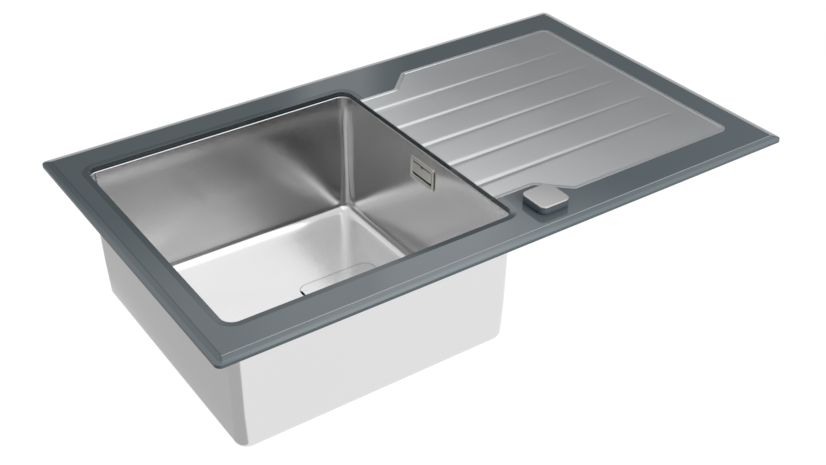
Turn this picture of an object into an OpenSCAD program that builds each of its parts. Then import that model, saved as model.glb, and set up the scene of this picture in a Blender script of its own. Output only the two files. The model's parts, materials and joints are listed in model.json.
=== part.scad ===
// Inset kitchen sink: a glass surround with a bevelled edge, one drawn steel bowl, a grooved
// steel drainer, a turning knob and the basket waste that it opens, an overflow and fixing
// clips. The worktop's surface is z = 0, the drainer lies along +X, the knob is at the front,
// -Y, and the origin is the middle of the rim. Millimetres.

/* [Glass surround] */
// Length of the glass
glass_l = 860; // [820:5:960]
// Width of the glass, front to back
glass_w = 510; // [500:5:600]
// Thickness of the glass
glass_t = 7.7; // [6.8:0.1:12]
// Radius of the glass's outer corners
glass_corner = 8; // [2:1:10]
// Width of the bevel along the outer edge
bevel_w = 12; // [6:1:20]
// Height of the upright land under the bevel
edge_land = 4.6; // [2:0.1:5.5]
// Thickness of the foam seal under the rim
seal_t = 2; // [1:0.5:4]
// Width of the foam seal
seal_w = 8; // [4:1:12]
// Distance of the seal from the glass's edge
seal_inset = 5; // [3:1:8]
// Overlap of the glass on the worktop, on each side of the cut-out
worktop_overlap = 10; // [8:1:14]
// Thickness of the worktop that the clips are set for
worktop_t = 30; // [20:1:40]

/* [Bowl] */
// Length of the bowl's opening in the glass
bowl_l = 400; // [340:5:420]
// Distance from the bowl's opening to the glass's front and back edges
bowl_side_margin = 55; // [52:1:90]
// Distance from the glass's left edge to the opening
bowl_margin = 40; // [38:1:60]
// Corner radius of the opening in the glass
opening_corner = 16; // [10:1:30]
// Depth from the underside of the glass to the edge of the floor
bowl_depth = 191; // [140:1:230]
// Thickness of the bowl's steel
bowl_sheet = 1; // [0.6:0.1:1.5]
// Radius of the upright corners of the bowl
bowl_corner = 15; // [10:1:30]
// Radius between walls and floor
floor_corner = 13; // [8:1:25]
// Lean of the walls, in degrees
wall_draft = 1.25; // [0.5:0.05:3]
// Fall of the floor from its edge to the waste
floor_fall = 2; // [1:0.5:4]
// How far the steel stands in from the glass's edge
steel_lip = 0.5; // [0.2:0.1:1]
// Width of the flange bonded under the glass
flange_w = 13; // [8:1:14]
// Thickness of the bond between flange and glass
bond_t = 0.6; // [0.3:0.1:1]

/* [Drainer] */
// Distance from the drainer to the glass's front and back edges
drainer_side_margin = 56; // [52:1:70]
// How much narrower the neck beside the bowl is, on each side
neck_step = 38; // [30:1:50]
// Length of the neck
neck_l = 60; // [40:1:80]
// Distance from the drainer's end to the glass's edge
drainer_margin = 45; // [30:1:70]
// Radius of the drainer's end corners
drainer_corner = 14; // [10:1:20]
// Radius in the notch of the neck
notch_corner = 10; // [4:1:14]
// How far the drainer's edge stands back from the bowl's opening
plate_setback = 0.6; // [0.4:0.1:1]
// Thickness of the drainer's steel
drainer_sheet = 0.8; // [0.5:0.1:1]
// Width of the border left flush with the glass
border_w = 5.2; // [3:0.1:8]
// Depth of the field at the bowl
field_drop = 0.6; // [0.5:0.1:1.2]
// Depth of the field at its far end
field_drop_end = 0.2; // [0.1:0.1:0.4]
// Thickness of the adhesive film under the drainer
film_t = 0.3; // [0.2:0.1:0.5]
// Number of grooves
groove_count = 5; // [1:1:6]
// Distance between grooves
groove_pitch = 60; // [40:1:62]
// Width of a groove at the bowl
groove_w = 10; // [6:1:14]
// Depth of a groove at the bowl
groove_d = 1.7; // [1:0.1:2.2]
// Distance from the grooves' ends to the drainer's end
groove_stop = 32; // [16:1:60]

/* [Overflow] */
// Height of the overflow's middle below the underside of the glass
overflow_drop = 34; // [30:1:60]
// Width of the overflow frame
frame_w = 56; // [50:1:64]
// Height of the overflow frame
frame_h = 35; // [34:1:40]
// Thickness of the overflow frame
frame_t = 2; // [1.5:0.5:3]
// Width of the frame's window
window_w = 45; // [40:1:46]
// Height of the frame's window
window_h = 21; // [18:1:23]
// Height of the slot under the cover
slot_h = 3; // [2:0.2:4]
// Height of the slot over the cover
slot_top_h = 0.8; // [0.6:0.1:1.5]
// Bore radius of the overflow hose
hose_bore = 9.5; // [8.5:0.5:10.5]
// Outer radius of the hose
hose_r = 12; // [11.5:0.5:14]
// Number of ribs along the hose
rib_count = 44; // [10:1:60]

/* [Waste] */
// Distance from the bowl's drainer wall to the middle of the waste
waste_inset = 115; // [100:1:150]
// Width of the square cover over the waste
waste_cover_w = 120; // [118:1:130]
// Corner radius of the cover
cover_corner = 16; // [12:1:22]
// Thickness of the cover
cover_t = 2; // [1:0.5:2.5]
// Width of the slot in the cover's left side
cover_slot_w = 3.5; // [2:0.5:5]
// Depth of the well under the cover
well_depth = 9; // [8:0.5:12]
// Radius of the hole in the well
waste_hole = 44; // [43:0.5:46]
// Inner radius of the waste cup
cup_r = 41.5; // [40:0.5:42]
// Depth of the waste cup below the well
cup_depth = 29; // [26:1:36]
// Distance from the cover's edge to the waste cup's flange
cup_flange_in = 4; // [2:1:8]
// Radius of the strainer basket
basket_r = 39.5; // [36:0.5:40]
// Lift of the basket when the knob is turned
waste_lift = 7; // [5:0.5:8]
// Radius of the threaded outlet
outlet_r = 23.9; // [22:0.1:30]
// Bore radius of the outlet
outlet_bore = 21; // [18:0.5:21.5]
// Length of the threaded outlet
outlet_l = 35; // [25:1:50]

/* [Knob] */
// Distance from the bowl's opening to the knob's middle
knob_from_bowl = 44.5; // [42:0.5:50]
// Distance from the glass's front edge to the knob's middle
knob_from_front = 51; // [46:0.5:56]
// Width of the square knob
knob_w = 46; // [40:1:48]
// Corner radius of the knob
knob_corner = 9; // [5:1:12]
// Gap between knob and glass
knob_gap = 1; // [0.9:0.1:2]
// Height of the knob's dark body
knob_body_h = 7.7; // [7:0.1:10]
// Height of the knob's steel cap
knob_cap_h = 3.5; // [3:0.1:5]
// Radius of the tap hole in the glass
tap_hole = 17.5; // [17.5:0.5:20]
// Turn of the knob between shut and open, in degrees
knob_turn = 90; // [60:5:120]

/* [Clips] */
// Distance from the cut-out to the clips at the back and the end
clip_inset = 15; // [13:1:16]
// Distance from the cut-out to the clips at the front
clip_inset_front = 50; // [45:1:55]
// Grip of a claw under the worktop
clip_grip = 8; // [5:1:9]

/* [Hidden] */
$fn = 64;

// Every cut runs past its face by this much
over = 0.5;
// Clearance between pieces that only lie near each other
fit = 0.3;
// Radial clearance of a threaded or pushed-in piece
snug = 0.05;
// Radial clearance of a turning or sliding shaft
running = 0.06;
// Smallest corner of a stepped outline
least_corner = 1;
// Steps of a rounded corner in an outline
corner_steps = 10;
// Sides of the rounded corners of the bowl
bowl_sides = 40;

// Heights
glass_bot = seal_t;
glass_top = glass_bot + glass_t;
bevel_drop = glass_t - edge_land;
flange_top = glass_bot - bond_t;
floor_edge = glass_bot - bowl_depth;
floor_low = floor_edge - floor_fall;
well_floor = floor_low - well_depth;
well_under = well_floor - bowl_sheet;

// Places
bowl_w = glass_w - 2 * bowl_side_margin;
drainer_w = glass_w - 2 * drainer_side_margin;
bowl_x0 = bowl_margin - glass_l / 2;
bowl_x1 = bowl_x0 + bowl_l;
bowl_xc = (bowl_x0 + bowl_x1) / 2;
drainer_x1 = glass_l / 2 - drainer_margin;
waste_x = bowl_x1 - waste_inset;
knob_x = bowl_x1 + knob_from_bowl;
knob_y = knob_from_front - glass_w / 2;
bond_setback = 3;

// Drainer
plate_gap = 0.15;
drainer_half = drainer_w / 2;
neck_half = drainer_half - neck_step;
neck_x = bowl_x1 + neck_l;
flare_x = neck_x + drainer_half - neck_half;
field_slope = (field_drop - field_drop_end) / (drainer_x1 - bowl_x1);
film_inset = 0.5;

// Bowl
top_x0 = bowl_x0 + steel_lip;
top_x1 = bowl_x1 - steel_lip;
top_y = bowl_w / 2 - steel_lip;
corner_z = floor_edge + floor_corner;
corner_in = (flange_top - corner_z) * tan(wall_draft) + floor_corner / cos(wall_draft);
well_gap = 0.3;
well_w = waste_cover_w + 2 * well_gap;
well_corner = cover_corner + well_gap;
pad_t = 0.2;

// Overflow
collar_t = 1;
collar_l = 4;
window_corner = 2.5;
frame_corner = 5;
wall_hole_w = window_w + 2 * (collar_t + fit);
wall_hole_h = window_h + 2 * (collar_t + fit);
overflow_z = glass_bot - overflow_drop;
overflow_x = top_x1 - (flange_top - overflow_z) * tan(wall_draft);
bar_w = 9;
bar_t = 1.5;
screw_r = 2.4;
screw_head_r = 4;
screw_head_t = 1.2;
wall_gap = 0.05;
overflow_gasket_t = 1.5;
gasket_back = bowl_sheet + overflow_gasket_t;
housing_t = 2;
housing_d = 24;
boss_r = 4.5;
boss_back = 10;
cover_plate_t = 1.2;
cover_leg_w = 5;
cover_top = window_h / 2 - slot_top_h;
cover_low = slot_h - window_h / 2;
cover_w = window_w - 2 * fit;
notch_r = 2.2;
hose_sides = 8;
spigot_l = 18;
spigot_wall = 1.5;
spigot_r = hose_bore * cos(180 / hose_sides) - snug;
spigot_in = gasket_back + housing_d - housing_t - spigot_r - spigot_wall;

// Waste
foot_r = 3;
foot_inset = 9;
cover_slot_ends = 1.25;
gasket_t = 1;
cup_wall = 1.2;
cup_flange = waste_cover_w / 2 - cup_flange_in;
cup_low = well_floor - cup_depth;
seat_r = 24;
seat_seal_r = 31;
seal_thick = 2;
nut_gasket_t = 2;
nut_h = 10;
nut_r = 54;
lug_w = 8;
lug_count = 8;
lug_out = 3;
body_r = 36;
body_wall = 3;
body_flange_r = 42;
body_flange_t = 6;
body_screw_r = 1.6;
body_screw_head_r = 2.8;
body_screw_head_t = 1.4;
body_screw_at = 38.4;
body_screw_count = 3;
body_top = cup_low - gasket_t;
inlet_root = 3;
inlet_room = 2;
inlet_z = body_top - body_flange_t - inlet_room - hose_r;
basket_wall = 0.8;
basket_taper = 2;
basket_top = floor_low - cover_t - waste_lift - 2 * fit;
basket_low = cup_low + cup_wall + seal_thick;
slot_count = 24;
basket_slot_w = 2.6;
slot_margin = 4;
grip_r = 7;
grip_h = 5;
grip_neck = 3.5;

// Lever, and the pin that it lifts
pin_r = 4;
guide_r = 8;
guide_t = 4;
guide_rib = 3;
guide_drop = 5;
lever_arm = 14;
lever_crank = 20;
lever_w = 5;
lever_half = 2.5;
lever_pin_r = 2;
nose_r = 2;
lug_t = 4;
fork_w = 2.2;
fork_h = 5;
crank_arm = lever_crank - fork_h / 2;
crank_room = 8;
pivot_drop = 22;
pivot_z = body_top - pivot_drop;
body_low = pivot_z - lever_crank - crank_room;
lift_half = asin(waste_lift / 2 / lever_arm);
nose_z = pivot_z - lever_arm * sin(lift_half);
pin_low = nose_z + nose_r + fit;
crank_z = pivot_z - crank_arm * cos(lift_half);
cable_travel = 2 * crank_arm * sin(lift_half);

// Hose
hose_bend = 45;
hose_end_l = 2 * hose_r;
rib_depth_share = 0.16;
rib_start_share = 0.3;
rib_width_share = 0.45;
hose_low = hose_r * (1 - rib_depth_share);
hose_start_x = overflow_x + spigot_in * cos(wall_draft) - frame_h / 2 * sin(wall_draft);
hose_start_z = overflow_z - frame_h / 2 * cos(wall_draft) - spigot_in * sin(wall_draft);
hose_drop = (hose_start_z - inlet_z - hose_bend * (1 - sin(wall_draft))) / cos(wall_draft);
hose_turn_x = hose_start_x - hose_drop * sin(wall_draft);
hose_turn_z = hose_start_z - hose_drop * cos(wall_draft);
hose_turn_l = hose_bend * (90 - wall_draft) * PI / 180;
hose_end_x = waste_x + body_r + inlet_root + fit;
hose_run = hose_turn_x - hose_bend * cos(wall_draft) - hose_end_x;
hose_l = hose_drop + hose_turn_l + hose_run;
rib_step = (hose_l - 2 * hose_end_l) / rib_count;
// Places and radii of the hose's rings, two to a rib
hose_stops = concat([[fit, hose_r], [hose_end_l, hose_r]],
    [for (i = [0 : rib_count - 1], k = [0, 1])
        [hose_end_l + (i + rib_start_share + rib_width_share * k) * rib_step,
            k == 0 ? hose_low : hose_r]],
    [[hose_l - hose_end_l, hose_r], [hose_l, hose_r]]);

// Knob
knob_seal_t = 0.4;
knob_flange_r = 20.5;
knob_flange_t = 2.5;
sleeve_r = 12;
shaft_r = 4.5;
washer_r = 22;
washer_t = 1.5;
knob_nut_r = 19;
knob_nut_t = 5;
house_r = 14;
house_wall = 2;
house_room = 1;
drum_r = cable_travel / (knob_turn * PI / 180);
drum_flange_r = 8;
drum_flange_t = 1;
drum_h = 4;
boss_l = 6;
knob_boss_r = 4.5;
wall_over = 1.5;
knob_low = glass_top + knob_gap;
knob_mid = knob_low + knob_body_h;
flange_z = glass_top + knob_seal_t;
nut_low = glass_bot - washer_t - knob_nut_t;
house_top = nut_low - fit;
sleeve_low = house_top - 2 * house_wall;
drum_top = sleeve_low - house_room;
drum_all = drum_h + 2 * drum_flange_t;
house_low = drum_top - drum_all - house_room - house_wall;
cable_z = drum_top - drum_all / 2;

// Control cable
wire_r = 0.7;
wire_in = 4;
ball_r = 1.8;
ball_y = -lever_arm - crank_arm * sin(lift_half) - lever_half / 2 / cos(lift_half) - ball_r - fit;
sheath_r = 2.5;
gland_r = 4;
gland_seat_r = 6.5;
gland_l = 14;
gland_nut_r = 6;
gland_nut_l = 5;
gland_y = body_r + inlet_root;
sheath_end_y = gland_y + gland_l;
cable_sides = 8;
cable_rings = 22;
cable_out = 30;
cable_by_y = 60;
cable_mid_z = floor_edge / 2;
reach_knob = 120;
reach_bowl = 70;
reach_down = 150;
reach_waste = 90;
knob_cable = [knob_x + drum_r, knob_y + house_r + boss_l, cable_z];
bowl_cable = [bowl_x1 + cable_out, cable_by_y, cable_mid_z];
waste_cable = [waste_x, sheath_end_y, crank_z];
cable_points = concat(
    [for (i = [0 : cable_rings - 1]) curve(knob_cable, knob_cable + [0, reach_knob, 0],
        bowl_cable + [0, 0, reach_bowl], bowl_cable, i / cable_rings)],
    [for (i = [0 : cable_rings]) curve(bowl_cable, bowl_cable - [0, 0, reach_down],
        waste_cable + [0, reach_waste, 0], waste_cable, i / cable_rings)]);
cable_last = len(cable_points) - 1;

// Clips
clips_back_share = [-0.35, -0.095, 0.28];
clips_front_share = [0.29, 0.70];
bracket_l = 30;
bracket_w = 16;
bracket_t = 2;
bracket_boss_r = 5;
bracket_boss_h = 8;
clip_screw_r = 2.5;
clip_head_r = 4.5;
clip_head_t = 3;
screw_above = 1;
claw_w = 12;
claw_t = 3;
claw_lip = 2;
claw_hub_r = 6.5;
claw_top = -worktop_t - fit - claw_lip;
claw_low = claw_top - claw_t;
cut_y = glass_w / 2 - worktop_overlap;
cut_x = glass_l / 2 - worktop_overlap;
clip_places = concat(
    [for (k = clips_back_share) [glass_l * k, cut_y - clip_inset, 0, clip_inset]],
    [[cut_x - clip_inset, 0, -90, clip_inset]],
    [for (k = clips_front_share)
        [knob_x + (glass_l / 2 - knob_x) * k, clip_inset_front - cut_y, 180, clip_inset_front]]);

// A rounded rectangle about the origin
module rounded(l, w, r) {
    square([l - 2 * r, w], center = true);
    square([l, w - 2 * r], center = true);
    for (x = [r - l / 2, l / 2 - r], y = [r - w / 2, w / 2 - r])
        translate([x, y]) circle(r = r);
}

module slab(l, w, h, r) {
    linear_extrude(height = h) rounded(l, w, r);
}

module ring(r_in, r_out, h) {
    difference() {
        cylinder(r = r_out, h = h);
        translate([0, 0, -over]) cylinder(r = r_in, h = h + 2 * over);
    }
}

// Glass

module bevel_cut(length) {
    rotate([90, 0, 90]) linear_extrude(height = length + 2 * over, center = true)
        polygon([[-bevel_w, 0], [over, -bevel_drop * (bevel_w + over) / bevel_w],
            [over, over], [-bevel_w, over]]);
}

module glass_surround() {
    color("slategray") difference() {
        translate([0, 0, glass_bot]) slab(glass_l, glass_w, glass_t, glass_corner);
        for (turn = [0, 180]) {
            rotate([0, 0, turn]) translate([0, glass_w / 2, glass_top]) bevel_cut(glass_l);
            rotate([0, 0, turn + 90]) translate([0, glass_l / 2, glass_top]) bevel_cut(glass_w);
        }
        translate([bowl_xc, 0, glass_bot - over])
            slab(bowl_l, bowl_w, glass_t + 2 * over, opening_corner);
        drainer_volume(drainer_sheet + film_t, -plate_gap, bowl_x1 - over);
        translate([knob_x, knob_y, glass_bot - over])
            cylinder(r = tap_hole, h = glass_t + 2 * over);
    }
}

module rim_seal() {
    seal_l = glass_l - 2 * seal_inset;
    seal_d = glass_w - 2 * seal_inset;
    color("dimgray") difference() {
        slab(seal_l, seal_d, seal_t, glass_corner);
        translate([0, 0, -over])
            slab(seal_l - 2 * seal_w, seal_d - 2 * seal_w, seal_t + 2 * over, glass_corner / 2);
    }
}

// Drainer

function unit(v) = v / norm(v);
function fillet(p, c, n, r) =
    let (a = unit(p - c), b = unit(n - c), th = acos(a * b), t = r / tan(th / 2),
        o = c + unit(a + b) * (r / sin(th / 2)), v = c + a * t - o, w = c + b * t - o,
        ph = 180 - th)
    [for (i = [0 : corner_steps]) let (k = i / corner_steps)
        o + (sin((1 - k) * ph) * v + sin(k * ph) * w) / sin(ph)];

// The drainer's outline, drawn in by o and starting at x = start
function half_outline(o, start) =
    let (cut = o * (sqrt(2) - 1), a = [start, neck_half - o], b = [neck_x + cut, neck_half - o],
        c = [flare_x + cut, drainer_half - o], d = [drainer_x1 - o, drainer_half - o],
        e = [drainer_x1 - o, 0])
    concat([a], fillet(a, b, c, max(least_corner, notch_corner + o)),
        fillet(b, c, d, max(least_corner, notch_corner - o)),
        fillet(c, d, e, max(least_corner, drainer_corner - o)));

function mirrored(points) =
    [for (i = [len(points) - 1 : -1 : 0]) [points[i][0], -points[i][1]]];

module drainer_outline(o, start) {
    half = half_outline(o, start);
    polygon(concat(half, mirrored(half)));
}

module drainer_slab(o, start, low) {
    translate([0, 0, low]) linear_extrude(height = glass_top + over - low)
        drainer_outline(o, start);
}

// All that lies above the field's plane when it is lowered by d
module field_wedge(d) {
    x0 = bowl_x1 - 2 * over;
    x1 = drainer_x1 + 2 * over;
    z0 = glass_top - field_drop - d - 2 * over * field_slope;
    z1 = glass_top - field_drop_end - d + 2 * over * field_slope;
    high = glass_top + 2 * over;
    rotate([90, 0, 0]) linear_extrude(height = drainer_w + 2 * over, center = true)
        polygon([[x0, z0], [x1, z1], [x1, high], [x0, high]]);
}

// The grooves, tapering to nothing, lowered by d
module grooves(d) {
    run = drainer_x1 - groove_stop - bowl_x1;
    tilt = atan(groove_d / run + field_slope);
    high = field_drop + groove_d + d + 2 * over;
    half = high * groove_w / 2 / groove_d;
    for (i = [0 : groove_count - 1])
        translate([bowl_x1, (i - (groove_count - 1) / 2) * groove_pitch,
                glass_top - field_drop - groove_d - d])
            rotate([0, -tilt, 0]) translate([-2 * over, 0, 0]) rotate([90, 0, 90])
                linear_extrude(height = run + 3 * over)
                    polygon([[0, 0], [half, high], [-half, high]]);
}

// The room taken by the plate and all above it, where the plate is d thick
module drainer_volume(d, o, start) {
    low = glass_top - field_drop - groove_d - d - over;
    intersection() {
        drainer_slab(o, start, low);
        union() {
            translate([0, 0, glass_top - d]) linear_extrude(height = d + over)
                drainer_outline(o - over, start - over);
            intersection() {
                drainer_slab(border_w - d, start - over, low - over);
                field_wedge(d);
            }
            grooves(d);
        }
    }
}

module drainer_plate() {
    low = glass_top - field_drop - groove_d - over;
    color("gainsboro") difference() {
        drainer_volume(drainer_sheet, 0, bowl_x1 + plate_setback);
        translate([0, 0, glass_top]) linear_extrude(height = 2 * over)
            drainer_outline(-over, bowl_x1 - over);
        intersection() {
            drainer_slab(border_w, bowl_x1 - over, low);
            field_wedge(0);
        }
        grooves(0);
    }
}

module drainer_film() {
    start = bowl_x1 + plate_setback;
    color("black") difference() {
        drainer_volume(drainer_sheet + film_t, film_inset, start + film_inset);
        drainer_volume(drainer_sheet, film_inset - over, start);
    }
}

// Bowl

// The bowl's inside, grown by o
module bowl_shape(o, high) {
    hull() {
        for (x = [top_x0 + bowl_corner, top_x1 - bowl_corner],
                y = [bowl_corner - top_y, top_y - bowl_corner])
            translate([x, y, flange_top - bowl_sheet])
                cylinder(r = bowl_corner + o, h = bowl_sheet + high, $fn = bowl_sides);
        for (x = [top_x0 + corner_in, top_x1 - corner_in],
                y = [corner_in - top_y, top_y - corner_in])
            translate([x, y, corner_z]) sphere(r = floor_corner + o, $fn = bowl_sides);
        for (x = [-1, 1], y = [-1, 1])
            translate([waste_x + x * (well_w / 2 - well_corner),
                    y * (well_w / 2 - well_corner), floor_low - o])
                cylinder(r = well_corner + o, h = pad_t, $fn = bowl_sides);
    }
}

module bowl() {
    color("silver") difference() {
        union() {
            bowl_shape(bowl_sheet, 0);
            translate([bowl_xc, 0, flange_top - bowl_sheet])
                slab(bowl_l + 2 * flange_w, bowl_w + 2 * flange_w, bowl_sheet,
                    opening_corner + flange_w);
            translate([waste_x, 0, well_under])
                slab(well_w + 2 * bowl_sheet, well_w + 2 * bowl_sheet,
                    well_depth + pad_t + bowl_sheet, well_corner + bowl_sheet);
        }
        bowl_shape(0, over);
        translate([waste_x, 0, well_floor])
            slab(well_w, well_w, well_depth + over, well_corner);
        translate([waste_x, 0, well_under - over])
            cylinder(r = waste_hole, h = bowl_sheet + 2 * over);
        on_wall() translate([0, 0, -bowl_sheet - 2 * over])
            slab(wall_hole_w, wall_hole_h, bowl_sheet + 4 * over, window_corner);
    }
}

module bowl_bond() {
    grow = flange_w - bond_setback;
    color("dimgray") translate([bowl_xc, 0, flange_top]) difference() {
        slab(bowl_l + 2 * grow, bowl_w + 2 * grow, bond_t, opening_corner + grow);
        translate([0, 0, -over])
            slab(bowl_l + 2 * bond_setback, bowl_w + 2 * bond_setback, bond_t + 2 * over,
                opening_corner + bond_setback);
    }
}

// Overflow, drawn in the wall's own frame: up the wall is +Y, into the bowl is +Z

module on_wall() {
    translate([overflow_x, 0, overflow_z]) rotate([0, wall_draft, 0]) rotate([90, 0, -90])
        children();
}

module overflow_frame() {
    color("lightgray") on_wall() difference() {
        union() {
            slab(frame_w, frame_h, frame_t, frame_corner);
            translate([0, 0, -collar_l])
                slab(window_w + 2 * collar_t, window_h + 2 * collar_t, collar_l + over,
                    window_corner);
        }
        difference() {
            translate([0, 0, -collar_l - over])
                slab(window_w, window_h, collar_l + frame_t + 2 * over, window_corner);
            translate([-bar_w / 2, -window_h / 2 - over, -collar_l])
                cube([bar_w, window_h + 2 * over, bar_t]);
        }
        translate([0, 0, -collar_l - over]) cylinder(r = screw_r + snug, h = bar_t + 2 * over);
    }
}

// The cover sits a little below the frame's face
module overflow_cover() {
    color("silver") on_wall() {
        difference() {
            translate([0, (cover_top + cover_low) / 2, frame_t - cover_plate_t - fit])
                slab(cover_w, cover_top - cover_low, cover_plate_t, window_corner);
            translate([0, cover_top, frame_t - cover_plate_t - fit - over])
                cylinder(r = notch_r, h = cover_plate_t + 2 * over);
        }
        for (side = [-1, 1])
            translate([side * (cover_w / 2 - window_corner) - cover_leg_w / 2,
                    (cover_top + cover_low) / 2 - cover_leg_w / 2, fit - collar_l])
                cube([cover_leg_w, cover_leg_w, collar_l + frame_t - cover_plate_t - 2 * fit]);
    }
}

module overflow_screw() {
    color("silver") on_wall() {
        translate([0, 0, bar_t - collar_l]) cylinder(r = screw_head_r, h = screw_head_t);
        translate([0, 0, -gasket_back - boss_back])
            cylinder(r = screw_r, h = gasket_back + boss_back + bar_t - collar_l + snug);
    }
}

module overflow_gasket() {
    color("black") on_wall() translate([0, 0, -gasket_back]) difference() {
        slab(frame_w, frame_h, overflow_gasket_t - wall_gap, frame_corner);
        translate([0, 0, -over])
            slab(wall_hole_w, wall_hole_h, overflow_gasket_t + 2 * over, window_corner);
    }
}

// The spigot points down the wall, and the hose starts at its root
module overflow_housing() {
    color("dimgray") on_wall() {
        difference() {
            translate([0, 0, -gasket_back - housing_d])
                slab(frame_w, frame_h, housing_d, frame_corner);
            translate([0, 0, -gasket_back - housing_d + housing_t])
                slab(frame_w - 2 * housing_t - collar_l, frame_h - 2 * housing_t - collar_l,
                    housing_d, window_corner);
            translate([0, 0, -spigot_in]) rotate([90, 0, 0])
                cylinder(r = spigot_r - spigot_wall, h = frame_h);
        }
        translate([0, 0, -gasket_back - housing_d + housing_t / 2])
            difference() {
                cylinder(r = boss_r, h = housing_d - housing_t / 2 - collar_l);
                translate([0, 0, housing_d - housing_t / 2 - gasket_back - boss_back])
                    cylinder(r = screw_r + snug, h = housing_d);
            }
        translate([0, -frame_h / 2 + over, -spigot_in]) rotate([90, 0, 0])
            ring(spigot_r - spigot_wall, spigot_r, spigot_l + over);
    }
}

// Hose: straight down, a quarter turn and straight to the waste's inlet

// Heading of the hose in degrees from straight down, and its place, at length s
function hose_heading(s) = s < hose_drop ? wall_draft :
    s < hose_drop + hose_turn_l ? wall_draft + (s - hose_drop) / hose_bend * 180 / PI : 90;
function hose_place(s) = s < hose_drop ?
    [hose_start_x - s * sin(wall_draft), 0, hose_start_z - s * cos(wall_draft)] :
    let (h = hose_heading(s), rest = max(0, s - hose_drop - hose_turn_l))
    [hose_turn_x - hose_bend * (cos(wall_draft) - cos(h)) - rest, 0,
        hose_turn_z - hose_bend * (sin(h) - sin(wall_draft))];
function hose_ring(s, r) = let (p = hose_place(s), h = hose_heading(s))
    [for (j = [0 : hose_sides - 1]) let (a = 360 * (j + 0.5) / hose_sides)
        p + r * (cos(a) * [0, 1, 0] + sin(a) * [cos(h), 0, -sin(h)])];

function skin(rings, sides, flip) = [for (i = [0 : rings - 2], j = [0 : sides - 1], t = [0, 1])
    let (a = i * sides + j, b = i * sides + (j + 1) % sides, c = b + sides, d = a + sides,
        f = t == 0 ? [a, b, c] : [a, c, d]) flip ? [f[2], f[1], f[0]] : f];
function shifted(faces, by) = [for (f = faces) [for (v = f) v + by]];
function lip(a, b, sides, flip) = [for (j = [0 : sides - 1], t = [0, 1])
    let (n = (j + 1) % sides, f = t == 0 ? [a + j, b + j, b + n] : [a + j, b + n, a + n])
    flip ? [f[2], f[1], f[0]] : f];

module overflow_hose() {
    rings = len(hose_stops);
    outer = [for (s = hose_stops) each hose_ring(s[0], s[1])];
    inner = [for (s = hose_stops) each hose_ring(s[0], hose_bore)];
    count = rings * hose_sides;
    color("dimgray") polyhedron(points = concat(outer, inner),
        faces = concat(skin(rings, hose_sides, true), shifted(skin(rings, hose_sides, false), count),
            lip(0, count, hose_sides, true),
            lip(count - hose_sides, 2 * count - hose_sides, hose_sides, false)));
}

// Waste

module at_waste(z) {
    translate([waste_x, 0, z]) children();
}

module drain_cover() {
    low = floor_low - cover_t;
    at_feet = waste_cover_w / 2 - foot_inset;
    slot_l = waste_cover_w - cover_slot_ends * cover_corner;
    color("silver") at_waste(low) {
        difference() {
            slab(waste_cover_w, waste_cover_w, cover_t, cover_corner);
            translate([-waste_cover_w / 2, 0, -over])
                slab(2 * cover_slot_w, slot_l, cover_t + 2 * over, cover_slot_w / 2);
        }
        for (x = [-1, 1], y = [-1, 1])
            translate([x * at_feet, y * at_feet, fit + well_floor - low])
                cylinder(r = foot_r, h = low - well_floor - fit);
    }
}

module waste_cup() {
    color("silver") at_waste(0) difference() {
        union() {
            translate([0, 0, well_floor + gasket_t]) cylinder(r = cup_flange, h = cup_wall);
            translate([0, 0, cup_low]) cylinder(r = cup_r + cup_wall, h = cup_depth + gasket_t);
        }
        translate([0, 0, cup_low + cup_wall]) cylinder(r = cup_r, h = cup_depth + well_depth);
        translate([0, 0, cup_low - over]) cylinder(r = seat_r, h = cup_wall + 2 * over);
        body_screw_places() translate([0, 0, cup_low - over])
            cylinder(r = body_screw_r + snug, h = cup_wall + 2 * over);
    }
}

module body_screw_places() {
    for (i = [0 : body_screw_count - 1])
        rotate([0, 0, 360 * i / body_screw_count + 30]) translate([body_screw_at, 0, 0])
            children();
}

module cup_gasket() {
    color("black") at_waste(well_floor) ring(waste_hole, cup_flange - gasket_t, gasket_t);
}

module waste_gasket() {
    color("black") at_waste(well_under - nut_gasket_t)
        ring(cup_r + cup_wall + snug, nut_r - gasket_t, nut_gasket_t);
}

module waste_nut() {
    color("dimgray") at_waste(well_under - nut_gasket_t - nut_h) difference() {
        union() {
            cylinder(r = nut_r, h = nut_h);
            for (i = [0 : lug_count - 1]) rotate([0, 0, 360 * (i + 0.5) / lug_count])
                translate([nut_r - lug_w, -lug_w / 2, 0]) cube([lug_w + lug_out, lug_w, nut_h]);
        }
        translate([0, 0, -over]) cylinder(r = cup_r + cup_wall + snug, h = nut_h + 2 * over);
    }
}

module body_gasket() {
    color("black") at_waste(body_top) difference() {
        ring(body_r - body_wall, body_flange_r, gasket_t);
        body_screw_places() translate([0, 0, -over])
            cylinder(r = body_screw_r + snug, h = gasket_t + 2 * over);
    }
}

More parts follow.
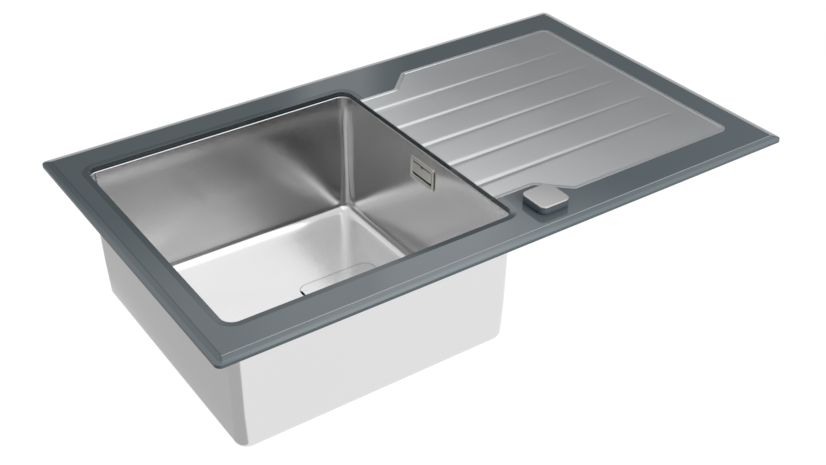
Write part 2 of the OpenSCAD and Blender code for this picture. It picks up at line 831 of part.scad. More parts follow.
module waste_body() {
    inner = body_r - body_wall;
    guide_top = body_top - guide_drop;
    lug_y = -lever_arm;
    color("dimgray") at_waste(0) difference() {
        union() {
            translate([0, 0, body_top - body_flange_t])
                ring(inner, body_flange_r, body_flange_t);
            translate([0, 0, body_low]) difference() {
                cylinder(r = body_r, h = body_top - body_low);
                translate([0, 0, body_wall]) cylinder(r = inner, h = body_top - body_low);
            }
            translate([0, 0, body_low - outlet_l]) cylinder(r = outlet_r, h = outlet_l + over);
            translate([0, 0, guide_top - guide_t]) cylinder(r = guide_r, h = guide_t);
            for (a = [90, 210, 330]) rotate([0, 0, a])
                translate([0, -guide_rib / 2, guide_top - guide_t])
                    cube([inner + over, guide_rib, guide_t]);
            for (side = [-1, 1])
                translate([side * (lever_w / 2 + fit + lug_t / 2) - lug_t / 2,
                        -inner - over, pivot_z - lug_t])
                    cube([lug_t, inner + over + lug_y + lug_t, 2 * lug_t]);
            translate([inner + over, 0, inlet_z]) rotate([0, 90, 0])
                cylinder(r = hose_r, h = body_wall + inlet_root - over);
            translate([inner + over, 0, inlet_z]) rotate([0, 90, 0])
                cylinder(r = spigot_r, h = body_wall + inlet_root + spigot_l - over);
            translate([0, inner + over, crank_z]) rotate([-90, 0, 0])
                cylinder(r = gland_seat_r, h = body_wall + inlet_root - over);
        }
        translate([0, 0, body_low - outlet_l - over])
            cylinder(r = outlet_bore, h = outlet_l + body_wall + 2 * over);
        translate([0, 0, guide_top - guide_t - over])
            cylinder(r = pin_r + running, h = guide_t + 2 * over);
        translate([inner - over, 0, inlet_z]) rotate([0, 90, 0])
            cylinder(r = spigot_r - spigot_wall, h = body_wall + inlet_root + spigot_l + 2 * over);
        translate([0, inner - over, crank_z]) rotate([-90, 0, 0])
            cylinder(r = gland_r + snug, h = body_wall + inlet_root + 2 * over);
        translate([-lever_w / 2 - lug_t - 2 * fit, -lever_arm, pivot_z]) rotate([0, 90, 0])
            cylinder(r = lever_pin_r + snug, h = lever_w + 2 * lug_t + 4 * fit);
        body_screw_places() translate([0, 0, body_top - body_flange_t + body_screw_r])
            cylinder(r = body_screw_r + snug, h = body_flange_t);
    }
}

module body_screws() {
    foot = body_top - body_flange_t + body_screw_r;
    color("silver") at_waste(0) body_screw_places() {
        translate([0, 0, cup_low + cup_wall])
            cylinder(r = body_screw_head_r, h = body_screw_head_t);
        translate([0, 0, foot]) cylinder(r = body_screw_r, h = cup_low + cup_wall - foot + snug);
    }
}

module strainer_basket() {
    tall = basket_top - basket_low;
    r_low = basket_r - basket_taper;
    color("silver") at_waste(basket_low) {
        difference() {
            cylinder(r1 = r_low, r2 = basket_r, h = tall);
            translate([0, 0, basket_wall])
                cylinder(r1 = r_low - basket_wall, r2 = basket_r - basket_wall, h = tall);
            for (i = [0 : slot_count - 1]) rotate([0, 0, 360 * i / slot_count])
                translate([seat_seal_r + basket_wall, -basket_slot_w / 2, slot_margin])
                    cube([basket_r, basket_slot_w, tall - 2 * slot_margin]);
        }
        translate([0, 0, basket_wall / 2]) cylinder(r = grip_neck, h = tall / 2);
        translate([0, 0, tall / 2]) cylinder(r = grip_r, h = grip_h);
    }
}

module plug_seal() {
    color("black") at_waste(basket_low - seal_thick + fit / 2)
        ring(seat_r + over, seat_seal_r, seal_thick - fit / 2);
}

module lift_pin() {
    color("silver") at_waste(pin_low) cylinder(r = pin_r, h = basket_low - pin_low);
}

// The lever at rest: one arm to the pin, one down to the cable
module lift_lever() {
    color("gray") translate([waste_x, -lever_arm, pivot_z]) rotate([-lift_half, 0, 0])
        difference() {
            union() {
                rotate([0, 90, 0]) cylinder(r = 2 * lever_pin_r, h = lever_w, center = true);
                translate([-lever_w / 2, 0, -lever_half / 2])
                    cube([lever_w, lever_arm, lever_half]);
                translate([0, lever_arm, 0]) rotate([0, 90, 0])
                    cylinder(r = nose_r, h = lever_w, center = true);
                translate([-lever_w / 2, -lever_half / 2, -lever_crank])
                    cube([lever_w, lever_half, lever_crank]);
            }
            rotate([0, 90, 0])
                cylinder(r = lever_pin_r + running, h = lever_w + 2 * over, center = true);
            translate([-fork_w / 2, -lever_half, -lever_crank - over])
                cube([fork_w, 2 * lever_half, fork_h + over]);
        }
}

module lever_pin() {
    reach = lever_w + 2 * lug_t + 2 * fit;
    color("silver") translate([waste_x - reach / 2, -lever_arm, pivot_z]) rotate([0, 90, 0])
        cylinder(r = lever_pin_r, h = reach);
}

// Control cable: its inner wire ends at the lever in a nipple that pulls the crank

module cable_end() {
    color("silver") translate([waste_x, 0, crank_z]) {
        translate([0, ball_y, 0]) sphere(r = ball_r);
        translate([0, ball_y, 0]) rotate([-90, 0, 0])
            cylinder(r = wire_r, h = gland_y + wire_in - ball_y);
    }
}

module cable_gland() {
    inside = body_r - body_wall;
    color("dimgray") translate([waste_x, inside, crank_z]) rotate([-90, 0, 0]) difference() {
        union() {
            cylinder(r = gland_r, h = sheath_end_y - inside);
            translate([0, 0, gland_y - inside]) cylinder(r = gland_nut_r, h = gland_nut_l);
        }
        translate([0, 0, -over]) cylinder(r = wire_r + fit, h = sheath_end_y - inside + 2 * over);
    }
}

// The sheath's route in two curves: along the glass, down beside the bowl, round to the waste
function curve(a, b, c, d, t) = pow(1 - t, 3) * a + 3 * t * pow(1 - t, 2) * b
    + 3 * t * t * (1 - t) * c + pow(t, 3) * d;
function heading(i) = i == 0 ? [0, 1, 0] : i == cable_last ? [0, -1, 0] :
    unit(cable_points[i + 1] - cable_points[i - 1]);
// Each ring keeps the last one's first direction as far as it can
function sides_of(i, last) = let (t = heading(i), u = unit(last - (last * t) * t))
    i == cable_last ? [u] : concat([u], sides_of(i + 1, u));

module cable_sheath() {
    across = sides_of(0, [1, 0, 0]);
    points = [for (i = [0 : cable_last], j = [0 : cable_sides - 1])
        let (a = 360 * (j + 0.5) / cable_sides)
        cable_points[i] + sheath_r * (cos(a) * across[i] + sin(a) * cross(heading(i), across[i]))];
    last = cable_last * cable_sides;
    color("black") polyhedron(points = points,
        faces = concat(skin(cable_last + 1, cable_sides, true),
            [for (j = [1 : cable_sides - 2]) [0, j, j + 1]],
            [for (j = [1 : cable_sides - 2]) [last, last + j + 1, last + j]]));
}

// Knob

module at_knob(z) {
    translate([knob_x, knob_y, z]) children();
}

module knob_cap() {
    color("silver") at_knob(knob_mid) slab(knob_w, knob_w, knob_cap_h, knob_corner);
}

module knob_body() {
    room = flange_z + knob_flange_t + fit - knob_low;
    color("darkslategray") at_knob(knob_low) difference() {
        slab(knob_w, knob_w, knob_body_h, knob_corner);
        translate([0, 0, -over]) cylinder(r = knob_flange_r + fit, h = room + over);
        translate([0, 0, -over]) cylinder(r = shaft_r + snug, h = knob_body_h - wall_over + over);
    }
}

module knob_shaft() {
    top = knob_mid - wall_over;
    color("silver") at_knob(0) {
        translate([0, 0, drum_top - drum_all]) cylinder(r = shaft_r, h = top - drum_top + drum_all);
        translate([0, 0, drum_top - drum_all]) {
            cylinder(r = drum_flange_r, h = drum_flange_t);
            cylinder(r = drum_r, h = drum_all);
            translate([0, 0, drum_all - drum_flange_t])
                cylinder(r = drum_flange_r, h = drum_flange_t);
        }
    }
}

module knob_sleeve() {
    color("silver") at_knob(0) difference() {
        union() {
            translate([0, 0, flange_z]) cylinder(r = knob_flange_r, h = knob_flange_t);
            translate([0, 0, sleeve_low]) cylinder(r = sleeve_r, h = flange_z - sleeve_low + over);
        }
        translate([0, 0, sleeve_low - over])
            cylinder(r = shaft_r + running, h = flange_z + knob_flange_t - sleeve_low + 2 * over);
    }
}

module knob_seal() {
    color("black") at_knob(glass_top) ring(sleeve_r + snug, knob_flange_r - knob_seal_t, knob_seal_t);
}

module knob_washer() {
    color("black") at_knob(glass_bot - washer_t) ring(sleeve_r + snug, washer_r, washer_t);
}

module knob_nut() {
    color("silver") at_knob(nut_low) difference() {
        cylinder(r = knob_nut_r, h = knob_nut_t, $fn = 6);
        translate([0, 0, -over]) cylinder(r = sleeve_r + snug, h = knob_nut_t + 2 * over);
    }
}

module knob_housing() {
    color("dimgray") at_knob(0) difference() {
        union() {
            translate([0, 0, house_low]) cylinder(r = house_r, h = house_top - house_low);
            translate([drum_r, 0, cable_z]) rotate([-90, 0, 0])
                cylinder(r = knob_boss_r, h = house_r + boss_l);
        }
        translate([0, 0, sleeve_low - over])
            cylinder(r = sleeve_r + snug, h = house_top - sleeve_low + 2 * over);
        translate([0, 0, house_low + house_wall])
            cylinder(r = house_r - house_wall, h = sleeve_low - house_low - house_wall);
        translate([drum_r, 0, cable_z]) rotate([-90, 0, 0])
            cylinder(r = wire_r + fit, h = house_r + boss_l + over);
    }
}

// Clips: a bracket bonded under the glass, a screw and a claw that swings out under the worktop.
// Each one's own +Y is towards the cut-out, and at rest the claw lies along its +X

module at_clip(i) {
    translate([clip_places[i][0], clip_places[i][1], 0]) rotate([0, 0, clip_places[i][2]])
        children();
}

module clip_brackets() {
    color("gray") for (i = [0 : len(clip_places) - 1]) at_clip(i) difference() {
        union() {
            translate([0, 0, glass_bot - bracket_t])
                slab(bracket_l, bracket_w, bracket_t, bracket_t);
            translate([0, 0, glass_bot - bracket_t - bracket_boss_h])
                cylinder(r = bracket_boss_r, h = bracket_boss_h + bracket_t);
        }
        translate([0, 0, glass_bot - bracket_t - bracket_boss_h - over])
            cylinder(r = clip_screw_r + snug, h = bracket_boss_h + over + bracket_t - screw_above);
    }
}

module clip_screws() {
    top = glass_bot - bracket_t;
    color("silver") for (i = [0 : len(clip_places) - 1]) at_clip(i) {
        translate([0, 0, claw_low - fit]) cylinder(r = clip_screw_r, h = top - claw_low + fit);
        translate([0, 0, claw_low - fit - clip_head_t])
            cylinder(r = clip_head_r, h = clip_head_t, $fn = 6);
    }
}

module claw(i) {
    reach = clip_places[i][3] + clip_grip;
    color("gray") at_clip(i) translate([0, 0, claw_low]) difference() {
        union() {
            cylinder(r = claw_hub_r, h = claw_t);
            translate([0, -claw_w / 2, 0]) cube([reach, claw_w, claw_t]);
            translate([reach - claw_t, -claw_w / 2, 0]) cube([claw_t, claw_w, claw_t + claw_lip]);
        }
        translate([0, 0, -over]) cylinder(r = clip_screw_r + running, h = claw_t + 2 * over);
    }
}

module claw_back_left() { claw(0); }
module claw_back_middle() { claw(1); }
module claw_back_right() { claw(2); }
module claw_end() { claw(3); }
module claw_front_left() { claw(4); }
module claw_front_right() { claw(5); }

glass_surround();
rim_seal();
drainer_plate();
drainer_film();
bowl();
bowl_bond();
overflow_frame();
overflow_cover();
overflow_screw();
overflow_gasket();
overflow_housing();
overflow_hose();
drain_cover();
waste_cup();
cup_gasket();
waste_gasket();
waste_nut();
waste_body();
body_gasket();
body_screws();
strainer_basket();
plug_seal();
lift_pin();
lift_lever();
lever_pin();
cable_end();
cable_sheath();
cable_gland();
knob_cap();
knob_body();
knob_shaft();
knob_sleeve();
knob_seal();
knob_washer();
knob_nut();
knob_housing();
clip_brackets();
clip_screws();
claw_back_left();
claw_back_middle();
claw_back_right();
claw_end();
claw_front_left();
claw_front_right();
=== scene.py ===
# %% [markdown]
# # An inset kitchen sink with a glass surround
# The real thing is a sheet of back-painted glass let into a worktop. A drawn steel bowl is
# bonded under it, a pressed steel drainer is let into its top, and a square knob opens the
# basket waste through a cable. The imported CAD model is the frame: every piece made here sits
# where its CAD node is, in metres, and rides on the same body.

# %% Load the frame
import bpy, bmesh, json, math
from mathutils import Vector, Matrix
from mathutils.geometry import delaunay_2d_cdt


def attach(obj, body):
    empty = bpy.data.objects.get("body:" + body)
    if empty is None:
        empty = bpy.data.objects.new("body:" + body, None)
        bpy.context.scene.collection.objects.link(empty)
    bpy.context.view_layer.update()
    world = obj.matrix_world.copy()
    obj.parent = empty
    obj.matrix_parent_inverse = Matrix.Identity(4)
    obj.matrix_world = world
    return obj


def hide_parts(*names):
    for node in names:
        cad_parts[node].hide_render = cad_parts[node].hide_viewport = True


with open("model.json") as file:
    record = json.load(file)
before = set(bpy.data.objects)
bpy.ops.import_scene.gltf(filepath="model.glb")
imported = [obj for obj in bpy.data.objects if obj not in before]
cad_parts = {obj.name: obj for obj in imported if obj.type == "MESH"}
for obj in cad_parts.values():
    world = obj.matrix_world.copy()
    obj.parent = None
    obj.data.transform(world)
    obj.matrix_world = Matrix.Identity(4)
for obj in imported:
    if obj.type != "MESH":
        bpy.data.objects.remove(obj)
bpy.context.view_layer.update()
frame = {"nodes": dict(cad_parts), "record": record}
scene = bpy.context.scene

# %% [markdown]
# ## The camera
# It stands where the photograph was taken from. Its place and lens came from fitting the
# straight edges of the glass, whose shape is known, so the sink is never moved to make the
# picture match.

# %% Make the camera
camera = bpy.data.objects.new("camera", bpy.data.cameras.new("camera"))
scene.collection.objects.link(camera)
scene.camera = camera
camera.data.sensor_width = 36
camera.data.lens = 55.07
camera.data.clip_end = 50
camera.location = (-0.83698, -1.21332, 0.85985)
camera.rotation_euler = Vector((0.46928, 0.68597, -0.55608)).to_track_quat("-Z", "Y").to_euler()
print("camera lens:", camera.data.lens, "mm")

# %% [markdown]
# ## Helpers for shapes
# Almost every part of a sink is a rounded rectangle or a circle that changes size with
# height. One function gives such a ring of points, another skins a stack of rings, and a
# bend, a fillet or a rounded edge is just a few more rings in the stack.

# %% Rings
MM = 0.001
STEPS, SIDES = 14, 72    # steps of a ring's corner, and sides of a circle


def ring(length, width, radius, z, centre=(0, 0)):
    """Points of a rounded rectangle, anticlockwise from above, in millimetres."""
    radius = min(radius, length / 2, width / 2)
    points = []
    for k, (sx, sy) in enumerate(((1, 1), (-1, 1), (-1, -1), (1, -1))):
        cx = centre[0] + sx * (length / 2 - radius)
        cy = centre[1] + sy * (width / 2 - radius)
        for i in range(STEPS + 1):
            a = math.radians(90 * k + 90 * i / STEPS)
            points.append((cx + radius * math.cos(a), cy + radius * math.sin(a), z))
    return points


def quarter(steps):
    """The angles of a quarter turn."""
    return [math.radians(90 * i / steps) for i in range(steps + 1)]


def circle(radius, z, centre=(0, 0)):
    turn = 2 * math.pi / SIDES
    return [(centre[0] + radius * math.cos(i * turn), centre[1] + radius * math.sin(i * turn), z)
            for i in range(SIDES)]


# %% Objects and shading
def new_object(name, data):
    obj = bpy.data.objects.new(name, data)
    scene.collection.objects.link(obj)
    return obj


def new_mesh(name, verts, edges=(), faces=()):
    mesh = bpy.data.meshes.new(name)
    mesh.from_pydata(verts, edges, faces)
    return mesh


def shaded(obj, angle=35):
    """Shades obj smooth, and keeps its edges over angle degrees sharp."""
    obj.data.shade_smooth()
    obj.data.set_sharp_from_angle(angle=math.radians(angle))
    return obj


def one_skin(mesh, reach=1e-7, flatten=False):
    """Joins doubled points, merges flat faces if asked, and turns all faces outwards."""
    work = bmesh.new()
    work.from_mesh(mesh)
    bmesh.ops.remove_doubles(work, verts=work.verts, dist=reach)
    if flatten:
        bmesh.ops.dissolve_limit(work, angle_limit=math.radians(0.6), verts=work.verts,
                                 edges=work.edges)
    bmesh.ops.recalc_face_normals(work, faces=work.faces)
    work.to_mesh(mesh)
    work.free()
    return mesh


# %% Solids and skins
def solid(name, verts, faces, smooth=30, scale=MM):
    """A mesh object from vertices in millimetres, with its faces outwards."""
    mesh = new_mesh(name, [Vector(v) * scale for v in verts], [], faces)
    return shaded(new_object(name, one_skin(mesh)), smooth)


def skin(rings, loop=False):
    """Vertices and faces over a stack of rings; loop joins the last ring to the first."""
    n = len(rings[0])
    verts = [p for r in rings for p in r]
    faces = []
    last = len(rings) if loop else len(rings) - 1
    for i in range(last):
        a, b = i * n, (i + 1) % len(rings) * n
        faces += [(a + j, a + (j + 1) % n, b + (j + 1) % n, b + j) for j in range(n)]
    if not loop:
        faces += [tuple(reversed(range(n))), tuple(range(len(verts) - n, len(verts)))]
    return verts, faces


def turned(name, profile, centre, loop=True, smooth=30):
    """A piece made on a lathe, from its profile as (radius, height) pairs."""
    return solid(name, *skin([circle(r, z, centre) for r, z in profile], loop), smooth)


# %% Flat plates with rounded edges
def plate_rings(length, width, radius, low, high, under=0.3, over=0.5, centre=(0, 0), steps=5):
    """The rings of a flat plate whose lower and upper edges are rounded.

    One more ring just inside each flat face keeps that face's shading flat.
    """
    def at(d, z):
        return ring(length - 2 * d, width - 2 * d, radius - d, z, centre)

    turns = quarter(steps)
    return ([at(under + 0.05, low)]
            + [at(under * (1 - math.sin(a)), low + under * (1 - math.cos(a))) for a in turns]
            + [at(over * (1 - math.cos(a)), high - over * (1 - math.sin(a))) for a in turns]
            + [at(over + 0.05, high)])


def plate(name, *sizes, smooth=35, **more):
    """A flat plate with rounded edges; the sizes are those of plate_rings."""
    return solid(name, *skin(plate_rings(*sizes, **more)), smooth)


# %% [markdown]
# ## Cutting, joining and softening
# Real metal and plastic never has a perfectly sharp edge, and the thin bright line on a
# rounded edge is what makes an edge look real. The small CAD pieces are already right in
# shape, so a copy of their mesh is merged into one skin, its flat faces are cleaned, and a
# bevel rounds every edge that turns by more than thirty degrees.

# %% Cut, join and soften
def baked(obj):
    """Makes the result of obj's modifiers its own mesh."""
    mesh = bpy.data.meshes.new_from_object(obj.evaluated_get(bpy.context.evaluated_depsgraph_get()))
    obj.modifiers.clear()
    obj.data = mesh
    return obj


def cut(obj, tool):
    """Takes the tool's shape out of obj for good."""
    change = obj.modifiers.new("cut", "BOOLEAN")
    change.operation, change.solver, change.object = "DIFFERENCE", "EXACT", tool
    baked(obj)
    bpy.data.objects.remove(tool)


def joined(name, *pieces):
    """Several meshes as one object."""
    work = bmesh.new()
    for piece in pieces:
        work.from_mesh(piece.data)
        bpy.data.objects.remove(piece)
    mesh = bpy.data.meshes.new(name)
    work.to_mesh(mesh)
    work.free()
    return shaded(new_object(name, mesh))


def rounded(obj, size, smooth):
    """Rounds obj's edges of over thirty degrees by size in millimetres."""
    edge = obj.modifiers.new("edge", "BEVEL")
    edge.width, edge.segments, edge.limit_method = size * MM, 2, "ANGLE"
    return shaded(baked(obj), smooth)


def softened(node, size):
    """A copy of a CAD node with rounded edges."""
    mesh = one_skin(frame["nodes"][node].data.copy(), 2e-6, flatten=True)
    return rounded(new_object(node + "_soft", mesh), size, 32)


def stand_in(obj, body, node, *finish):
    """The piece gets its finish, rides on its body and takes the place of its CAD node."""
    if finish:
        paint(obj, *finish)
    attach(obj, body)
    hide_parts(node)
    print(obj.name, "faces:", len(obj.data.polygons))


# %% [markdown]
# ## Helpers for materials
# Colours are written as sRGB hex, as a paint chart gives them, and turned to linear once.
# Every surface is a node tree on object coordinates, so that a pattern has its real size in
# metres wherever the piece lies.

# %% Colours and nodes
def linear(code):
    parts = [int(code[i:i + 2], 16) / 255 for i in (1, 3, 5)]
    return tuple(c / 12.92 if c <= 0.04045 else ((c + 0.055) / 1.055) ** 2.4 for c in parts) + (1,)


def add(tree, kind, inputs={}, **settings):
    """Adds a node; an input is a value, a socket, or a node for its first output."""
    made = tree.nodes.new(kind)
    for key, value in settings.items():
        setattr(made, key, value)
    for key, value in inputs.items():
        socket = made.inputs[key]
        value = value.outputs[0] if isinstance(value, bpy.types.Node) else value
        if isinstance(value, bpy.types.NodeSocket):
            tree.links.new(value, socket)
        else:
            socket.default_value = value
    return made


def material(name, **inputs):
    """A new material, its tree and its Principled shader with the given inputs."""
    made = bpy.data.materials.new(name)
    made.use_nodes = True
    shader = made.node_tree.nodes["Principled BSDF"]
    for key, value in inputs.items():
        shader.inputs[key.replace("_", " ")].default_value = value
    return made, made.node_tree, shader


def speckle(tree, scale, stretch=(1, 1, 1), detail=4.0):
    """Noise with about one blob in 1/scale metres; stretch divides an axis's blob size."""
    place = add(tree, "ShaderNodeTexCoord")
    grid = add(tree, "ShaderNodeMapping", {0: place.outputs["Object"], "Scale": stretch})
    noise = {"Vector": grid, "Scale": scale, "Detail": detail}
    return add(tree, "ShaderNodeTexNoise", noise).outputs[0]


def spread(tree, value, low, high):
    """Maps the middle of a noise's values to low to high."""
    return add(tree, "ShaderNodeMapRange", {0: value, 1: 0.3, 2: 0.7, 3: low, 4: high}).outputs[0]


def blend(tree, value, dark, light):
    """Mixes two hex colours by a value from 0 to 1."""
    mixed = add(tree, "ShaderNodeMix", data_type="RGBA")
    tree.links.new(value, mixed.inputs[0])
    mixed.inputs[6].default_value, mixed.inputs[7].default_value = linear(dark), linear(light)
    return mixed.outputs[2]


def relief(tree, shader, height, depth, strength=1.0):
    """Bumps the shader by a height from 0 to 1 that is depth millimetres deep."""
    bump = add(tree, "ShaderNodeBump", {
        "Height": height, "Distance": depth * MM, "Strength": strength})
    tree.links.new(bump.outputs[0], shader.inputs["Normal"])


def surface(tree, shader, colour, rough):
    tree.links.new(colour, shader.inputs["Base Color"])
    tree.links.new(rough, shader.inputs["Roughness"])


def reckon(tree, step, a, b=0.0):
    """One sum on sockets or numbers."""
    return add(tree, "ShaderNodeMath", {0: a, 1: b}, operation=step).outputs[0]


def paint(obj, *materials):
    obj.data.materials.clear()
    for m in materials:
        obj.data.materials.append(m)


# %% [markdown]
# ## Satin stainless steel
# The sheet is drawn, then polished with belts, which leaves fine lines along each wall. The
# lines are noise stretched ninety times longer than it is wide. On a wall that faces along X
# they run along Y, and everywhere else along X. They move the tone and the roughness a little,
# because from a metre away they are too fine to see one by one. Most of the satin look is the
# roughness itself, which decides over how wide a patch of its surroundings the steel averages.

# %% Steel finishes
def brushed(name, dark, light, rough, depth, broad=0.01):
    """Steel with belt lines depth millimetres deep, its roughness clouded by broad."""
    made, tree, shader = material(name, Metallic=1.0)
    along_x = speckle(tree, 40, (1, 90, 90), 6)
    along_y = speckle(tree, 40, (90, 1, 90), 6)
    facing = add(tree, "ShaderNodeNewGeometry").outputs["Normal"]
    facing_x = add(tree, "ShaderNodeSeparateXYZ", {0: facing}).outputs[0]
    end_wall = reckon(tree, "GREATER_THAN", reckon(tree, "ABSOLUTE", facing_x), 0.7)
    lines = add(tree, "ShaderNodeMix", {0: end_wall, 2: along_x, 3: along_y}).outputs[0]
    both = reckon(tree, "ADD", spread(tree, lines, rough - 0.005, rough + 0.005),
                  spread(tree, speckle(tree, 9, detail=3), -broad, broad))
    surface(tree, shader, blend(tree, lines, dark, light), both)
    relief(tree, shader, lines, depth)
    return made


# The drawn bowl: a bright satin whose reflections fade over a hand's width
bowl_steel = brushed("satin drawn stainless steel", "#DDDDDD", "#DFDFDF", 0.18, 1e-5)
# The pressed drainer: a finer, greyer linen polish
drainer_steel = brushed("brushed pressed stainless steel", "#BFC1C3", "#C3C5C7", 0.29, 1e-5)
# Small trim: the basket and its pin, polished a little finer
trim_steel = brushed("fine satin stainless steel trim", "#D4D4D4", "#D8D8D8", 0.22, 3e-4)
# The overflow: a coarse belt finish, so it stays pale where the bowl's wall is dark
trim_satin = brushed("satin brushed stainless steel trim", "#E6E4DE", "#EAE8E2", 0.42, 3e-4, 0.02)
# The knob's cap: blasted, so its top is one even, slightly darker grey
cap_steel = brushed("fine blasted stainless steel cap", "#B7B7B7", "#BABABA", 0.17, 5e-5)

# %% [markdown]
# ## Back-painted glass
# Float glass is flat to a few micrometres, so its gloss is perfect, and the grey comes from
# the paint behind it. A clear dielectric gloss over a dark colour gives both. The ground
# bevel is a touch lighter, because light enters it from the side. The sawn edge is darker.
# The shallow band round the bowl's opening is darker too, as painted shade for the dark cut
# edge seen through the glass, and the near bevel's first narrow facet is lighter, as a
# painted highlight.

# %% Glass finishes
def painted_glass(name, dark, light, rough):
    made, tree, shader = material(name, IOR=1.52)
    cloud = speckle(tree, 14, detail=2)
    surface(tree, shader, blend(tree, cloud, dark, light),
            spread(tree, cloud, rough, rough + 0.02))
    relief(tree, shader, speckle(tree, 60, detail=1), 0.0004)
    return made


glass = painted_glass("grey back-painted float glass", "#525C61", "#545E63", 0.03)
glass_bevel = painted_glass("ground and polished glass bevel", "#5D686D", "#606B70", 0.08)
# The band round the opening is darker as painted shade, for the dark cut edge seen through the
# glass
glass_band_painted_shade = painted_glass("painted shade on the shallow band round the opening", "#424C51", "#454F54", 0.03)
# The near bevel's first narrow facet is lighter as a painted highlight; on the other sides it keeps
# the plain glass
near_bevel_painted_highlight = painted_glass("painted highlight on the line where the near bevel starts", "#8B969A", "#8E999D", 0.08)
glass_land = painted_glass("seamed outer edge of the glass", "#3A4449", "#3D474B", 0.15)
glass_edge = painted_glass("polished edge of the glass opening", "#252D30", "#2B3336", 0.06)

# %% [markdown]
# ## Plastics, rubber, zinc and brass
# Moulded plastic has a fine eroded texture from its mould. Rubber is duller and a little
# dusty. Zinc plating is soft grey with faint cloudy spangles, and turned brass shows the
# lathe's rings, which are waves around its axis.

# %% Moulded and plated finishes
def moulded(name, dark, light, rough, grain=900, depth=0.02, metallic=0.0):
    made, tree, shader = material(name, Metallic=metallic)
    fine = speckle(tree, grain, detail=3)
    cloud = speckle(tree, 30, detail=2)
    surface(tree, shader, blend(tree, cloud, dark, light),
            spread(tree, fine, rough - 0.06, rough + 0.06))
    relief(tree, shader, fine, depth, 0.5)
    return made


plastic = moulded("black moulded polypropylene", "#232426", "#2C2D2F", 0.48)
slate = moulded("slate-dark moulded ABS", "#454F57", "#4B555D", 0.34, 700, 0.008)
hose_plastic = moulded("pale grey ribbed polypropylene", "#C4C5C1", "#D0D0CC", 0.42, 600)
sheath = moulded("black extruded PVC", "#17181A", "#202123", 0.30, 500, 0.01)
rubber = moulded("black moulded rubber", "#151515", "#1E1E1D", 0.72, 1500, 0.03)
foam = moulded("dark closed-cell foam tape", "#1D1E1F", "#2A2B2C", 0.88, 2200, 0.12)
adhesive = moulded("cured black adhesive", "#121314", "#1A1B1C", 0.55, 300, 0.05)
zinc = moulded("zinc-plated steel", "#A3A8AC", "#B4B8BB", 0.36, 220, 0.006, 1.0)
brass = moulded("turned brass", "#B4965A", "#C2A468", 0.28, 1200, 0.006, 1.0)

# %% Give every CAD node its finish
by_slot = {"glass": glass, "satin_steel": trim_steel, "plated_steel": zinc, "brass": brass,
           "foam": foam, "bond": adhesive, "rubber": rubber, "black_plastic": plastic,
           "hose_plastic": hose_plastic, "sheath_plastic": sheath, "dark_plastic": slate}
finish_of = {}
for part in frame["record"]["subparts"]:
    finish_of[part["node"]] = by_slot[part["material_slot"]]
    paint(frame["nodes"][part["node"]], finish_of[part["node"]])
print("finishes:", len(set(m.name for m in finish_of.values())))

# %% [markdown]
# ## Helpers for Geometry Nodes
# A tree of nodes is a recipe with named inputs. It is built once here and can then be given
# other sizes. Its result is turned into a plain mesh, because a moving part has to be one
# mesh that its body can carry.

# %% Grow a piece with a tree
def new_tree(name, **inputs):
    """A geometry tree with the named inputs; returns it, its group input and its output."""
    tree = bpy.data.node_groups.new(name, "GeometryNodeTree")

    def socket(name, kind, in_out="INPUT"):
        return tree.interface.new_socket(name, in_out=in_out, socket_type="NodeSocket" + kind)

    socket("Geometry", "Geometry")
    for key, value in inputs.items():
        made = socket(key.replace("_", " "), "Int" if isinstance(value, int) else "Float")
        made.default_value = value
    socket("Finish", "Material")
    socket("Geometry", "Geometry", "OUTPUT")
    return tree, add(tree, "NodeGroupInput").outputs, add(tree, "NodeGroupOutput")


def close_tree(tree, start, end, geometry):
    """Ends a tree: instances become real, and the finish is set."""
    real = add(tree, "GeometryNodeRealizeInstances", {0: geometry})
    done = add(tree, "GeometryNodeSetMaterial", {0: real, "Material": start["Finish"]})
    tree.links.new(done.outputs[0], end.inputs[0])


# %% Steps that several trees share
def sweep(tree, curve, profile):
    """Sweeps a profile along a curve, with closed ends."""
    return add(tree, "GeometryNodeCurveToMesh", {
        "Curve": curve, "Profile Curve": profile, "Fill Caps": True})


def turned_outwards(tree, start, count, size, turn=0.0):
    """Boxes on a circle, each turned to face outwards, moved to Centre and Middle."""
    spots = add(tree, "GeometryNodeMeshCircle", {
        "Vertices": start[count], "Radius": start["Radius"]})
    box = add(tree, "ShaderNodeCombineXYZ", {i: start[key] for i, key in enumerate(size)})
    cube = add(tree, "GeometryNodeMeshCube", {"Size": box})
    outward = add(tree, "FunctionNodeAlignRotationToVector", {
        "Vector": add(tree, "GeometryNodeInputPosition")}, axis="X")
    boxes = add(tree, "GeometryNodeInstanceOnPoints", {
        "Points": spots, "Instance": cube, "Rotation": outward})
    shift = add(tree, "ShaderNodeCombineXYZ", {0: start["Centre"], 2: start["Middle"]})
    spin = add(tree, "ShaderNodeCombineXYZ", {2: turn})
    return add(tree, "GeometryNodeTransform", {
        0: boxes, "Rotation": spin, "Translation": shift})


def grown(obj, tree, finish, **inputs):
    """Runs a tree on obj with these inputs, and keeps the result as obj's mesh."""
    change = obj.modifiers.new(tree.name, "NODES")
    change.node_group = tree
    values = {key.replace("_", " "): value for key, value in inputs.items()}
    values["Finish"] = finish
    for item in tree.interface.items_tree:
        if item.in_out == "INPUT" and item.name in values:
            change[item.identifier] = values[item.name]
    obj.update_tag()
    return baked(obj)


def sums(tree):
    """A tree's four sums, and the lesser and the greater of two values."""
    return [lambda a, b, step=step: reckon(tree, step, a, b) for step in
            ("ADD", "SUBTRACT", "MULTIPLY", "DIVIDE", "MINIMUM", "MAXIMUM")]


# %% Sizes that several pieces share, in millimetres
GLASS_BOTTOM, GLASS_TOP = 2.0, 9.7
BOWL_X, WASTE_X = -190.0, -105.0
KNOB = (54.5, -204.0)
WASTE = (WASTE_X, 0)

